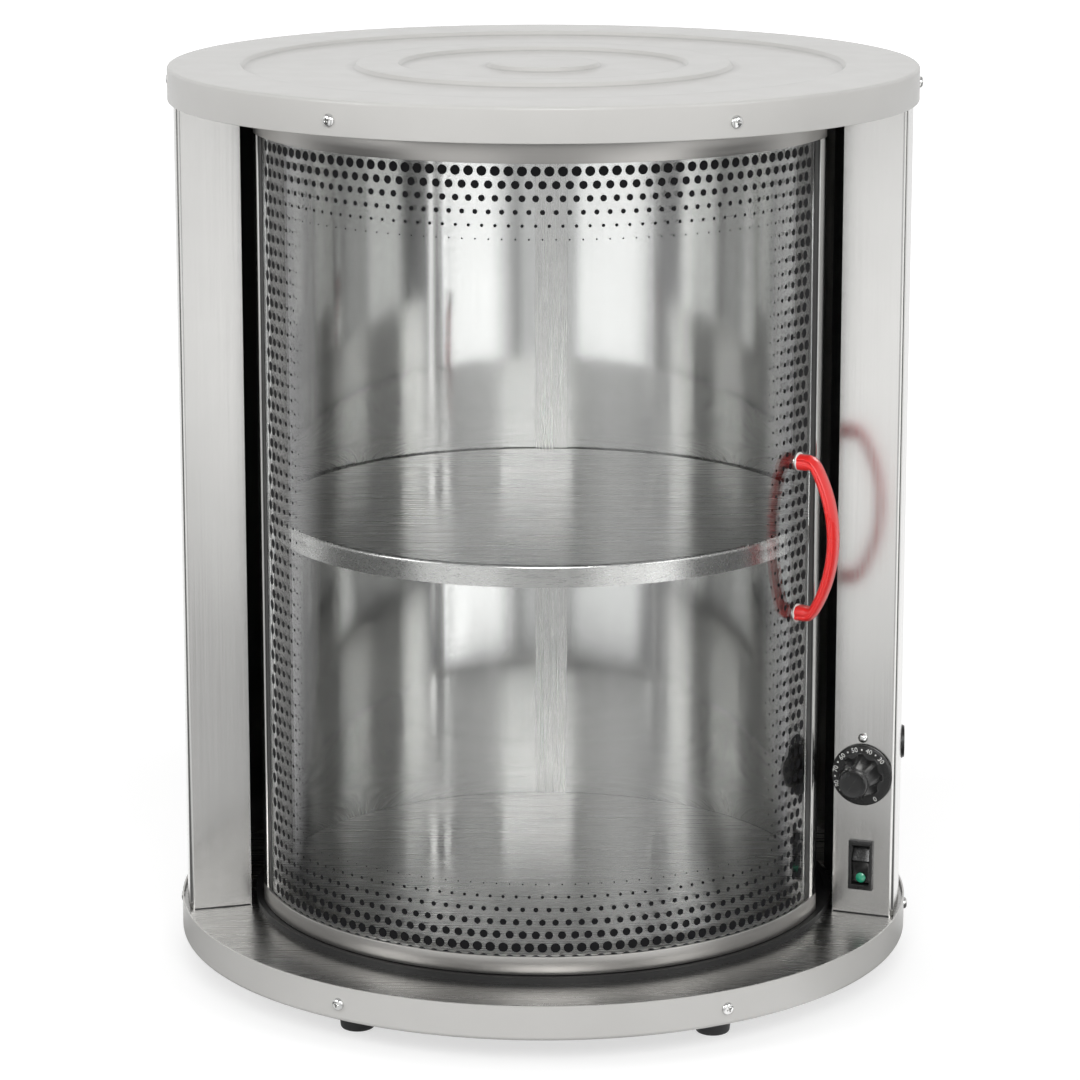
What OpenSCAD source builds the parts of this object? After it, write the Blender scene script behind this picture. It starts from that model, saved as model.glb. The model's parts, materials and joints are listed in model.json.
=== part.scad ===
// Round plate warmer cabinet with a curved door that turns round the cabinet's axis.
// Millimetres, +Z up. The origin lies on the cabinet's axis, in the plane that the feet stand on.
// Angles round the axis are measured from the front (-Y), and are positive towards the right (+X).

/* [Cabinet] */
// Outer radius of the lid and of the base tray
body_r = 225; // [220:1:235]
// Height from the tray's underside to the lid's highest face
body_h = 536; // [480:1:600]
// Height of the rubber feet
foot_h = 18; // [14:1:24]
// Sheet thickness of lid and tray
shell_t = 1; // [0.8:0.1:1.2]
// Depth of the lid's flange
lid_flange_h = 20.5; // [18:0.5:24]
// Depth of the tray's flange
tray_flange_h = 21; // [20:0.5:25]
// How far the deck lies below the tray's edge
deck_drop = 3; // [2:0.5:4]
// Thickness of the deck
deck_t = 1.2; // [1:0.1:1.5]

/* [Lid pressing] */
// Height of the pressed steps
lid_step_h = 2.5; // [1.5:0.5:4]
// Width of a step's slope
lid_step_run = 6; // [4:0.5:8]
// Radius of the lid's rounded edge
lid_edge_r = 4; // [3:0.5:6]
// Mean radius of the centre disc's slope
lid_disc_r = 33.5; // [25:0.5:45]
// Mean radius of the raised ring's inner slope
lid_ring_in_r = 86; // [75:0.5:92]
// Mean radius of the raised ring's outer slope
lid_ring_out_r = 113; // [105:0.5:125]
// Mean radius of the outer border's slope
lid_border_r = 180; // [170:0.5:195]

/* [Casing] */
// Radial gap between the casing and the inside of the lid
casing_gap = 2.5; // [1.5:0.5:3.5]
// Sheet thickness of the casing
casing_t = 0.8; // [0.6:0.1:1]
// Angle from the front at which the casing is folded in
corner_angle = 76.6; // [74:0.2:80]
// Angle by which the front faces look towards the centre
face_angle = 18; // [14:1:22]
// Outer radius of the corner folds
bend_r = 2.5; // [2:0.5:4]
// Depth of the fold at a front face's inner edge
face_return = 12; // [8:1:14]

/* [Drum] */
// Depth of the space between drum and casing, which holds the opened door and the controls
jacket_w = 54; // [52:1:60]
// Sheet thickness of the drum
drum_t = 0.7; // [0.5:0.1:1]
// Angle from the front at which the drum's wall starts
drum_angle = 78; // [77:0.5:80]
// Width of the strip over the drum's joint
strip_w = 21; // [16:1:30]
// Height of the chamber's floor above the deck
floor_h = 12; // [11:0.5:14]
// Sheet thickness of the floor
floor_t = 1; // [0.8:0.1:1.2]

/* [Shelf] */
// Radial gap between the shelf and the drum
shelf_gap = 2; // [1.5:0.5:4]
// Height of the shelf's upper face above the ground
shelf_z = 283; // [220:1:340]
// Depth of the shelf's turned-down rim
shelf_rim_h = 13; // [10:1:18]
// Sheet thickness of the shelf
shelf_t = 1; // [0.8:0.1:1.2]

/* [Door] */
// Radial gap between the drum and the door's channels
door_gap = 2.4; // [2:0.1:3]
// Thickness of the curved pane
pane_t = 3; // [2.5:0.5:4]
// Wall thickness of the door's channels
rail_wall = 1.8; // [1.5:0.1:2]
// Height of the lower channel
low_rail_h = 11; // [9:0.5:14]
// Height of the upper channel
top_rail_h = 11.7; // [9:0.1:14]
// Width of the upright channels
upright_w = 12; // [9:0.5:15]
// Left edge of the closed door
door_left = -76.3; // [-77:0.1:-74]
// Right edge of the closed door
door_right = 73.3; // [70:0.1:74]
// Radial gap between the door and the edges of the front faces
slot_gap = 7.4; // [6:0.1:9]
// Angle through which the door opens, to the left
door_travel = 136; // [120:1:136]

/* [Handle] */
// Place of the handle round the door
handle_angle = 61.6; // [56:0.2:64]
// Height of the handle's middle above the ground
handle_z = 281.75; // [240:0.25:330]
// Distance between the handle's screws
handle_pitch = 92; // [80:1:110]
// Distance from the pane to the handle's highest point
handle_reach = 26.5; // [22:0.5:28]
// Width of the handle
handle_w = 11; // [9:0.5:12]
// Thickness of the handle's bow
handle_t = 5.6; // [5:0.2:7]
// Height of the handle's feet
handle_foot_h = 9; // [8:0.5:10.5]

/* [Controls] */
// Height of the thermostat knob above the ground
knob_z = 125; // [110:1:150]
// Diameter of the knob's numbered skirt
skirt_d = 38; // [34:1:40]
// Diameter of the knob's grip
grip_d = 27; // [24:1:30]
// Distance that the knob stands out of the face
knob_reach = 24; // [20:1:28]
// Height of the rocker switch above the ground
switch_z = 67.5; // [60:0.5:75]
// Width of the switch's frame
switch_w = 15; // [14:0.5:17]
// Height of the switch's frame
switch_h = 31; // [29:0.5:34]

/* [Feet and screws] */
// Distance of the feet from the axis
foot_place_r = 187; // [175:1:195]
// Angle of the feet from front and back
foot_angle = 34; // [28:1:45]
// Upper radius of a foot
foot_r = 12; // [10:0.5:14]
// Radius of the screw heads round lid and tray
screw_head_r = 3.65; // [3:0.05:4]

/* [Hidden] */
$fn = 96;

// clearances
seat = 0.1;          // between parts that are fixed to each other
slide = 0.3;         // between parts that move on each other
shaft_fit = 0.05;    // radial play of a shaft that turns in a bore
proud = 0.02;        // between a flange and the sheet that it lies on
eps = 1;             // how far a cut runs past what it cuts
lap = 0.1;           // overlap of a bend with the flat sheet beside it
hair = 0.03;         // how far a bend stays inside the faces of the sheet beside it

// heights
tray_z = foot_h;
tray_edge_z = tray_z + tray_flange_h;
deck_z = tray_edge_z - deck_drop;
lid_z = foot_h + body_h;
lid_edge_z = lid_z - lid_flange_h;
ceiling_t = 1;
ceiling_rise = 1.5;      // from the lid's edge up to the ceiling
ceiling_z = lid_edge_z + ceiling_rise;
casing_lap = 14;         // how far casing and ceiling rim go up behind the lid's flange
casing_top_z = lid_edge_z + casing_lap;
floor_z = deck_z + floor_h;

// radii
casing_r = body_r - shell_t - casing_gap;
casing_in_r = casing_r - casing_t;
ceiling_r = casing_in_r - slide;
deck_r = body_r - shell_t - 2 * seat;
drum_r = casing_in_r - jacket_w - drum_t;
rail_in_r = drum_r + drum_t + door_gap;
pane_in_r = rail_in_r + rail_wall + seat;
pane_r = pane_in_r + pane_t;
rail_r = pane_r + seat + rail_wall;
pane_mid_r = (pane_in_r + pane_r) / 2;
face_in_r = rail_r + slot_gap;
shelf_r = drum_r - shelf_gap;

// tracks and glides
track_in_r = drum_r + drum_t + slide;
track_lip = 3.4;         // how far the tracks reach past the door's channels
track_r = rail_r + track_lip;
track_h = 4;
track_floor = 1.4;
top_track_h = 5.2;
top_track_floor = 1.8;
top_rail_gap = 2.1;
glide_w = 5;
glide_len = 14;
glide_count = 6;
glide_inset_a = 6.3;
glide_step_a = (door_right - door_left - 2 * glide_inset_a) / (glide_count - 1);
glide_angles = [for (i = [0:glide_count - 1]) door_left + glide_inset_a + i * glide_step_a];
top_glide_h = 3.4;
low_rail_z = deck_z + track_h + slide + seat;
top_track_z = ceiling_z - top_track_h;
top_rail_z = top_track_z - top_rail_gap - top_rail_h;

// angles that a width takes on the pane's radius
function arc(w, r = pane_mid_r) = w / r * 180 / PI;
wall_a = arc(rail_wall);
upright_a = arc(upright_w);
seat_a = arc(seat);

// a point at an angle from the front
function at(a, r) = [r * sin(a), -r * cos(a)];
function dot(p, q) = p[0] * q[0] + p[1] * q[1];

// folded corner of the casing: its centre, the face's direction and its outer ends
face_dir = [-cos(face_angle), sin(face_angle)];
face_out = [-sin(face_angle), -cos(face_angle)];
fold_a = acos((casing_r * cos(corner_angle + face_angle) - bend_r) / (casing_r - bend_r)) - face_angle;
fold_c = at(fold_a, casing_r - bend_r);
face_start = fold_c + bend_r * face_out;
face_run = -dot(face_start, face_dir)
         - sqrt(pow(dot(face_start, face_dir), 2) - dot(face_start, face_start) + pow(face_in_r, 2));
face_mid = face_start + face_dir * face_run / 2;
seam_a = arc(seat, casing_r);

// screws round lid and tray
screw_angles = [30, 90, 150, -150, -90, -30];
screw_head_h = 2.5;
screw_shank_r = 1.7;
screw_len = 9;
hole_play = 0.15;        // radial play of a screw in its hole
screw_hole_r = screw_shank_r + hole_play;
lid_screw_z = lid_edge_z + 9;
tray_screw_z = tray_z + tray_flange_h / 2;

// handle
washer_t = 1;
washer_r = 5.5;
handle_foot_x = pane_r + washer_t + proud;
handle_screw_r = 1.95;
handle_screw_depth = 6.5;
handle_bevel = 1.6;      // along the bow's inner edges
handle_crown = 1.3;      // how far its outer face swells
handle_edge = 0.7;       // round of the outer edges
handle_bend_a = 60;      // each bend turns the path from the foot into the bow
handle_bend_r = 7;       // radius of a bend's centre line
handle_arc_r = (handle_pitch / 2 - handle_bend_r * (1 - cos(handle_bend_a))) / cos(handle_bend_a);
handle_arc_x = pane_r + handle_reach - handle_t / 2 - handle_arc_r;
handle_leg_x = handle_arc_x + (handle_arc_r - handle_bend_r) * sin(handle_bend_a);
handle_screw_zs = [handle_z - handle_pitch / 2, handle_z + handle_pitch / 2];

// controls
bush_r = 5;
shaft_r = 3;
stud_rise = 23;
stud_z = knob_z + stud_rise;
stud_r = 2.9;
stud_h = 2.2;
stud_dome_r = 3.6;
stud_pin_r = 1.4;
plug_angle = 88;
plug_rise = 10.5;
plug_z = knob_z + plug_rise;
plug_r = 10.5;
bushing_rise = 26;
bushing_z = deck_z + bushing_rise;
bushing_r = 10;
bushing_neck_r = 8;
bushing_bore_r = 3.9;
plug_neck_r = 8;
button_flange_t = 1.8;
// partition that keeps the door away from the controls
box_r = face_in_r + 1.3;
box_t = 0.8;
box_from = 81.8;
box_to = 106;

// rocker switch
switch_flange_t = 2;
switch_body_w = switch_w - 2.2;
switch_body_h = switch_h - 2.8;
switch_depth = 18;
tab_pitch = 8;
tab_len = 8;
rocker_well = 12.5;      // depth of the opening that the rocker turns in
rocker_w = switch_w - 4.4;
rocker_pivot_z = -5;
rocker_swing_r = switch_h / 2 - 3.3;
rocker_pin_r = 1.2;
lens_y = -8.2;
lens_r = 3;
lens_seat_z = -2.35;

// heater
heater_r = 115;
heater_tube_r = 3.25;
heater_z = deck_z + 5.5;
heater_gap_a = 15;
heater_clip_angles = [-100, 0, 100];
clip_len = 12;
clip_w = 8;
clip_t = 1.2;
heater_end_r = 4.4;
heater_end_z = tray_z + 8;
wire_hole_r = 7;
wire_hole = at(95, casing_in_r - 20.7);
lead_hole = at(180, casing_in_r - 16.7);
capillary_hole = at(94, drum_r - 17.7);
bulb_r = 3;
bulb_len = 80;
capillary_r = 0.9;

steel = [0.80, 0.80, 0.79];
polished = [0.86, 0.86, 0.86];
paint = [0.82, 0.81, 0.79];
black = [0.07, 0.07, 0.07];
red = [0.85, 0.08, 0.07];

// ---- helpers -----------------------------------------------------------------------------

// part of a ring between two angles, two radii and two heights
module ring_part(r0, r1, z0, z1, a0, a1)
    rotate([0, 0, a0 - 90])
        rotate_extrude(angle = a1 - a0, $fn = 180)
            translate([r0, z0])
                square([r1 - r0, z1 - z0]);

module ring(r0, r1, z0, z1)
    rotate_extrude($fn = 180)
        translate([r0, z0])
            square([r1 - r0, z1 - z0]);

// children drawn with +X outwards, +Z up, at an angle, a radius and a height
module on_round(a, r, z)
    rotate([0, 0, a - 90])
        translate([r, 0, z])
            children();

// children drawn with +Z out of the round wall
module out_of_round(a, r, z)
    on_round(a, r, z)
        rotate([0, 90, 0])
            children();

// children drawn on the right front face: +X right, +Y up, +Z out of the face
module on_face(z)
    translate([face_mid[0], face_mid[1], z])
        rotate([0, 0, -face_angle])
            rotate([90, 0, 0])
                children();

// pan head with a cross recess, and its shank along -Z
module pan_screw(head_r, head_h, shank_r, len)
{
    rim_h = head_h * 0.4;
    swell = head_h - rim_h;
    dome_r = (pow(head_r, 2) + pow(swell, 2)) / (2 * swell);
    slot_len = head_r * 1.1;
    slot_w = head_r * 0.22;
    difference()
    {
        intersection()
        {
            cylinder(r = head_r, h = head_h);
            translate([0, 0, head_h - dome_r])
                sphere(r = dome_r);
        }
        for (a = [0, 90])
            rotate([0, 0, a])
                translate([-slot_len / 2, -slot_w / 2, head_h / 2])
                    cube([slot_len, slot_w, head_h]);
    }
    translate([0, 0, -len])
        cylinder(r = shank_r, h = len + head_h * 0.3);
}

// a thin tube that follows points, with a knuckle at each inner point
module bent_tube(points, r)
{
    for (i = [0:len(points) - 2])
    {
        d = points[i + 1] - points[i];
        translate(points[i])
            rotate([0, acos(d[2] / norm(d)), atan2(d[1], d[0])])
                cylinder(r = r, h = norm(d), $fn = 24);
    }
    for (i = [1:len(points) - 2])
        translate(points[i])
            sphere(r = r * 1.15, $fn = 24);
}

// ---- lid and ceiling ---------------------------------------------------------------------

// half section of the pressed lid's upper face, from the axis outwards
function lid_line(drop) = [
    [0, lid_z - drop],
    [lid_disc_r - lid_step_run / 2, lid_z - drop],
    [lid_disc_r + lid_step_run / 2, lid_z - drop - lid_step_h],
    [lid_ring_in_r - lid_step_run / 2, lid_z - drop - lid_step_h],
    [lid_ring_in_r + lid_step_run / 2, lid_z - drop],
    [lid_ring_out_r - lid_step_run / 2, lid_z - drop],
    [lid_ring_out_r + lid_step_run / 2, lid_z - drop - lid_step_h],
    [lid_border_r - lid_step_run / 2, lid_z - drop - lid_step_h],
    [lid_border_r + lid_step_run / 2, lid_z - drop]];

// points of a quarter round from the top to the outside
function quarter(cx, cz, r, n = 6) = [for (i = [0:n]) [cx + r * sin(90 * i / n), cz + r * cos(90 * i / n)]];

function reversed(v) = [for (i = [len(v) - 1:-1:0]) v[i]];

lid_hem_h = 2.5;
lid_section = concat(
    lid_line(0),
    quarter(body_r - lid_edge_r, lid_z - lid_edge_r, lid_edge_r),
    [[body_r, lid_edge_z],
     [casing_r + slide, lid_edge_z],
     [casing_r + slide, lid_edge_z + lid_hem_h],
     [body_r - shell_t, lid_edge_z + lid_hem_h]],
    reversed(quarter(body_r - lid_edge_r, lid_z - lid_edge_r, lid_edge_r - shell_t)),
    reversed(lid_line(shell_t)));

module lid()
    color(paint)
        difference()
        {
            rotate_extrude($fn = 180)
                polygon(lid_section);
            for (a = screw_angles)
                out_of_round(a, body_r - 2 * shell_t, lid_screw_z)
                    cylinder(r = screw_hole_r, h = 3 * shell_t);
        }

module screw_ring(z)
    color(polished)
        for (a = screw_angles)
            out_of_round(a, body_r + 0.03, z)
                pan_screw(screw_head_r, screw_head_h, screw_shank_r, screw_len);

module lid_screws()
    screw_ring(lid_screw_z);

module ceiling_pan()
    color(steel)
        difference()
        {
            union()
            {
                ring(0, ceiling_r, ceiling_z, ceiling_z + ceiling_t);
                ring(ceiling_r - ceiling_t, ceiling_r, ceiling_z, casing_top_z + 1);
            }
            for (a = screw_angles)
                out_of_round(a, ceiling_r - 4, lid_screw_z)
                    cylinder(r = screw_hole_r, h = 6);
        }

module upper_track()
    color(black)
        difference()
        {
            ring(track_in_r, track_r, top_track_z, ceiling_z);
            ring(pane_mid_r - glide_w / 2 - slide - seat, pane_mid_r + glide_w / 2 + slide + seat,
                 top_track_z - eps, ceiling_z - top_track_floor);
        }

// ---- casing and drum ---------------------------------------------------------------------

// outline of one folded front face with its corner
module face_outline()
{
    // corner fold
    translate(fold_c)
        intersection()
        {
            difference()
            {
                circle(r = bend_r - hair, $fn = 48);
                circle(r = bend_r - casing_t + hair, $fn = 48);
            }
            polygon([[0, 0], 3 * bend_r * face_out,
                     3 * bend_r * (face_out + at(fold_a, 1)), 3 * bend_r * at(fold_a, 1)]);
        }
    // flat face and the fold at its inner edge
    translate(face_start)
        rotate(-face_angle)
        {
            translate([-face_run, 0])
                square([face_run + lap, casing_t]);
            translate([-face_run, 0])
                square([casing_t, face_return]);
        }
}

// a folded sheet that fronts one side of the cabinet, from the deck up to the ceiling
module front_panel()
    translate([0, 0, deck_z])
        linear_extrude(height = ceiling_z - deck_z)
            face_outline();

module left_front_panel()
    color(steel)
        mirror([1, 0, 0])
            front_panel();

module right_front_panel()
    color(steel)
        difference()
        {
            front_panel();
            on_face(knob_z)
                translate([0, 0, -3])
                    cylinder(r = bush_r + seat, h = 5);
            on_face(stud_z)
                translate([0, 0, -3])
                    cylinder(r = stud_pin_r + seat, h = 5);
            on_face(switch_z)
                translate([-switch_body_w / 2 - seat, -switch_body_h / 2 - seat, -3])
                    cube([switch_body_w + 2 * seat, switch_body_h + 2 * seat, 5]);
        }

// the round sheet runs from one front panel's fold to the other's, round the back
module outer_casing()
    color(steel)
        difference()
        {
            ring_part(casing_in_r, casing_r, deck_z, casing_top_z, fold_a + seam_a, 360 - fold_a - seam_a);
            for (a = [90, 150, -150, -90])
                out_of_round(a, casing_in_r - 1, lid_screw_z)
                    cylinder(r = screw_hole_r, h = 3);
            out_of_round(plug_angle, casing_in_r - 2, plug_z)
                cylinder(r = plug_neck_r + seat, h = 5);
            out_of_round(180, casing_in_r - 2, bushing_z)
                cylinder(r = bushing_neck_r + seat, h = 5);
        }

module inner_liner()
    color(polished)
        ring_part(drum_r, drum_r + drum_t, deck_z, ceiling_z, drum_angle, 360 - drum_angle);

// shallow channel that stands on the floor and covers the drum's joint
strip_lip = 1.6;
strip_t = 0.8;
strip_y = drum_r - seat - strip_lip;
strip_leg_y = sqrt(pow(drum_r - seat, 2) - pow(strip_w / 2, 2));

module rear_strip()
    color(steel)
        translate([0, 0, floor_z])
            linear_extrude(height = ceiling_z - floor_z)
                polygon([[-strip_w / 2, strip_y], [strip_w / 2, strip_y],
                         [strip_w / 2, strip_leg_y], [strip_w / 2 - strip_t, strip_leg_y],
                         [strip_w / 2 - strip_t, strip_y + strip_t],
                         [strip_t - strip_w / 2, strip_y + strip_t],
                         [strip_t - strip_w / 2, strip_leg_y], [-strip_w / 2, strip_leg_y]]);

floor_r = drum_r - 4 * seat;

module inner_floor()
    color(steel)
    {
        ring(0, floor_r, floor_z - floor_t, floor_z);
        ring(floor_r - floor_t, floor_r, deck_z, floor_z - floor_t / 2);
    }

bracket_w = 12;
bracket_t = 1.2;
bracket_h = 16;
bracket_len = 13;
bracket_angles = [82, 150, -150, -82];
bracket_x = sqrt(pow(drum_r - seat / 2, 2) - pow(bracket_w / 2, 2));

module shelf_brackets()
    color(steel)
        for (a = bracket_angles)
            on_round(a, bracket_x, shelf_z - shelf_rim_h - slide)
            {
                translate([-bracket_t, -bracket_w / 2, -bracket_h])
                    cube([bracket_t, bracket_w, bracket_h]);
                translate([-bracket_len, -bracket_w / 2, -bracket_t])
                    cube([bracket_len, bracket_w, bracket_t]);
            }

module control_box()
    color(steel)
        difference()
        {
            ring_part(box_r, casing_in_r - seat, deck_z, ceiling_z, box_from, box_to);
            ring_part(box_r + box_t, casing_in_r + 1, deck_z - eps, ceiling_z + eps,
                      box_from - 2, box_to - arc(box_t, casing_r));
        }

// ---- base --------------------------------------------------------------------------------

module base_deck()
    color(steel)
        difference()
        {
            union()
            {
                ring(0, deck_r, deck_z - deck_t, deck_z);
                ring(deck_r - deck_t, deck_r, tray_z + shell_t, deck_z - deck_t / 2);
            }
            for (a = screw_angles)
                out_of_round(a, deck_r - 4, tray_screw_z)
                    cylinder(r = screw_hole_r, h = 6);
            for (p = [wire_hole, lead_hole, capillary_hole])
                translate(concat(p, deck_z - 3))
                    cylinder(r = wire_hole_r, h = 6);
            for (s = [-1, 1])
                translate(concat(at(180 + s * heater_gap_a, heater_r), deck_z - 3))
                    cylinder(r = heater_end_r + 1, h = 6);
        }

tray_edge_r = 2.5;
tray_section = concat(
    [[0, tray_z]],
    [for (p = quarter(0, 0, tray_edge_r))
        [body_r - tray_edge_r + p[0], tray_z + tray_edge_r - p[1]]],
    [[body_r, tray_edge_z], [body_r - shell_t, tray_edge_z],
     [body_r - shell_t, tray_z + shell_t], [0, tray_z + shell_t]]);

vent_rows = 5;
vent_pitch = 12;
vent_w = 4;
vent_len = 44;
vent_x = 60;

module base_tray()
    color(paint)
        difference()
        {
            rotate_extrude($fn = 180)
                polygon(tray_section);
            for (a = screw_angles)
                out_of_round(a, body_r - 2 * shell_t, tray_screw_z)
                    cylinder(r = screw_hole_r, h = 3 * shell_t);
            for (a = foot_angles)
                translate(concat(at(a, foot_place_r), tray_z - eps))
                    cylinder(r = foot_screw_r + hole_play, h = 3);
            for (s = [-1, 1], i = [0:vent_rows - 1])
                translate([s * vent_x, (i - (vent_rows - 1) / 2) * vent_pitch, tray_z - eps])
                    linear_extrude(height = shell_t + 2 * eps)
                    {
                        square([vent_len - vent_w, vent_w - 2 * hair], center = true);
                        for (e = [-1, 1])
                            translate([e * (vent_len - vent_w) / 2, 0])
                                circle(r = vent_w / 2, $fn = 24);
                    }
        }

module tray_screws()
    screw_ring(tray_screw_z);

module lower_track()
    color(black)
        difference()
        {
            ring(track_in_r, track_r, deck_z, deck_z + track_h);
            ring(pane_mid_r - glide_w / 2 - slide - seat, pane_mid_r + glide_w / 2 + slide + seat,
                 deck_z + track_floor, deck_z + track_h + eps);
        }

foot_angles = [foot_angle, 180 - foot_angle, foot_angle - 180, -foot_angle];
foot_low_r = foot_r - 1.8;
foot_round = 2;
foot_screw_r = 2;
foot_recess_r = 5.5;
foot_recess_h = 8;

module feet()
    color(black)
        for (a = foot_angles)
            translate(concat(at(a, foot_place_r), 0))
                difference()
                {
                    rotate_extrude($fn = 64)
                        polygon(concat(
                            [[0, 0]],
                            [for (i = [0:5]) [foot_low_r - foot_round + foot_round * sin(18 * i),
                                              foot_round - foot_round * cos(18 * i)]],
                            [[foot_r, foot_h], [0, foot_h]]));
                    translate([0, 0, -eps])
                        cylinder(r = foot_recess_r, h = foot_recess_h + eps);
                    cylinder(r = foot_screw_r + hole_play, h = foot_h + eps);
                }

module foot_screws()
    color(polished)
        for (a = foot_angles)
            translate(concat(at(a, foot_place_r), foot_recess_h))
                rotate([180, 0, 0])
                    pan_screw(4, 2.8, foot_screw_r, foot_h - foot_recess_h + 6);

// ---- controls and electrics --------------------------------------------------------------

therm_w = 26;
therm_h = 34;
therm_depth = 20;
therm_back = -casing_t - seat;       // the body's front lies against the face's back
shaft_in = 14;       // how deep the shaft's bore goes into the body
knob_front = 6;      // what the knob keeps in front of the shaft's bore
lug_w = 6;
lug_t = 0.8;
lug_len = 6;
lug_x = 8;
lug_z = therm_back - therm_depth + 4;
panel_gap = 1;       // from the knob's skirt to the face

module thermostat_body()
    color([0.75, 0.72, 0.62])
        on_face(knob_z)
            difference()
            {
                union()
                {
                    translate([-therm_w / 2, -therm_h / 2, therm_back - therm_depth])
                        cube([therm_w, therm_h, therm_depth]);
                    translate([0, 0, therm_back - eps])
                        cylinder(r = bush_r, h = panel_gap - slide - therm_back + eps);
                    for (s = [-1, 1])
                        translate([s * lug_x - lug_w / 2, -therm_h / 2 - lug_len, lug_z])
                            cube([lug_w, lug_len + eps, lug_t]);
                }
                translate([0, 0, -shaft_in])
                    cylinder(r = shaft_r + shaft_fit, h = shaft_in + 2 * bush_r);
            }

module thermostat_shaft()
    color(steel)
        on_face(knob_z)
            translate([0, 0, slide - shaft_in])
                cylinder(r = shaft_r, h = shaft_in - slide + knob_reach - knob_front - slide);

skirt_t = 2.4;
cap_d = 17;
cap_h = 3.4;
grip_h = knob_reach - panel_gap - skirt_t - cap_h;
grip_top_r = cap_d / 2 + 1;
hollow_count = 8;        // finger hollows round the grip
hollow_r = 4.2;
hollow_low = 2;          // their depth at the skirt
hollow_high = 1;         // and at the cap
hub_r = 5.6;
knob_wall = 2;

// a bar that leans with the grip's slope and takes one hollow out of it
module finger_hollow()
{
    low_r = grip_d / 2 + hollow_r - hollow_low;
    high_r = grip_top_r + hollow_r - hollow_high;
    translate([low_r, 0, skirt_t + seat])
        rotate([0, -atan((low_r - high_r) / grip_h), 0])
            cylinder(r = hollow_r, h = grip_h + cap_h);
}

module thermostat_knob()
    color(black)
        on_face(knob_z)
            translate([0, 0, panel_gap])
                difference()
                {
                    union()
                    {
                        cylinder(r1 = skirt_d / 2, r2 = skirt_d / 2 - 0.8, h = skirt_t);
                        difference()
                        {
                            cylinder(r1 = grip_d / 2, r2 = grip_top_r, h = skirt_t + grip_h);
                            for (i = [0:hollow_count - 1])
                                rotate([0, 0, (i + 0.5) * 360 / hollow_count])
                                    finger_hollow();
                        }
                        cylinder(r1 = cap_d / 2 + 0.3, r2 = cap_d / 2, h = skirt_t + grip_h + cap_h);
                    }
                    // the moulding is hollow round its hub
                    translate([0, 0, -eps])
                        difference()
                        {
                            cylinder(r = cap_d / 2, h = skirt_t + grip_h - knob_wall + eps);
                            cylinder(r = hub_r, h = knob_reach);
                        }
                    translate([0, 0, -eps])
                        cylinder(r = shaft_r + shaft_fit, h = knob_reach - panel_gap - knob_front + eps);
                }

module index_stud()
    color(polished)
        on_face(stud_z)
        {
            intersection()
            {
                translate([0, 0, proud])
                    cylinder(r = stud_r, h = stud_h);
                translate([0, 0, stud_h - stud_dome_r])
                    sphere(r = stud_dome_r);
            }
            translate([0, 0, -5])
                cylinder(r = stud_pin_r, h = 6);
        }

module switch_housing()
    color(black)
        on_face(switch_z)
            difference()
            {
                union()
                {
                    translate([-switch_w / 2, -switch_h / 2, proud])
                        cube([switch_w, switch_h, switch_flange_t - proud]);
                    translate([-switch_body_w / 2, -switch_body_h / 2, -switch_depth])
                        cube([switch_body_w, switch_body_h, switch_depth + 0.5]);
                    for (y = [-tab_pitch, 0, tab_pitch])
                        translate([-lug_w / 2, y - lug_t / 2, -switch_depth - tab_len])
                            cube([lug_w, lug_t, tab_len + eps]);
                }
                translate([-rocker_w / 2 - slide, -rocker_swing_r - slide, -rocker_well])
                    cube([rocker_w + 2 * slide, 2 * (rocker_swing_r + slide), switch_depth + switch_flange_t]);
                translate([-switch_body_w, 0, rocker_pivot_z])
                    rotate([0, 90, 0])
                        cylinder(r = rocker_pin_r + shaft_fit, h = 2 * switch_body_w);
            }

rocker_peak_y = 2.8;
rocker_peak_z = 1.4;
rocker_top_z = -4.2;
rocker_low_z = -0.4;

module switch_rocker()
    color(black)
        on_face(switch_z)
            difference()
            {
                union()
                {
                    rotate([0, -90, 0])
                        linear_extrude(height = rocker_w, center = true)
                            rocker_outline();
                    translate([-switch_body_w / 2 + seat, 0, rocker_pivot_z])
                        rotate([0, 90, 0])
                            cylinder(r = rocker_pin_r, h = switch_body_w - 2 * seat);
                }
                translate([0, lens_y, lens_seat_z - shaft_fit])
                    cylinder(r = lens_r + shaft_fit, h = 6);
            }

// side view of the rocker: the first coordinate is out of the face, the second is up
module rocker_outline()
    intersection()
    {
        translate([rocker_pivot_z, 0])
            circle(r = rocker_swing_r, $fn = 96);
        polygon([[-9, -9], [-9, 9], [rocker_top_z, 14], [rocker_top_z, rocker_swing_r - 1],
                 [rocker_peak_z, rocker_peak_y], [rocker_peak_z - 1, rocker_peak_y - 1.2],
                 [rocker_low_z, lens_y - lens_r - 1], [rocker_low_z, -14]]);
    }

module switch_lens()
    color([0.1, 0.65, 0.35])
        on_face(switch_z)
            translate([0, lens_y, lens_seat_z])
                intersection()
                {
                    cylinder(r = lens_r, h = 4);
                    translate([0, 0, -1.6])
                        sphere(r = 5.4);
                }

// a round button with a flange outside the casing and a neck through it
module button(flange_r, neck_r)
{
    translate([0, 0, proud])
        cylinder(r1 = flange_r, r2 = flange_r - 0.8, h = button_flange_t);
    translate([0, 0, -6])
        cylinder(r = neck_r, h = 7);
}

module side_plug()
    color(black)
        out_of_round(plug_angle, casing_r, plug_z)
            button(plug_r, plug_neck_r);

module cord_bushing()
    color(black)
        out_of_round(180, casing_r, bushing_z)
            difference()
            {
                button(bushing_r, bushing_neck_r);
                translate([0, 0, -8])
                    cylinder(r = bushing_bore_r, h = 12);
            }

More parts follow.
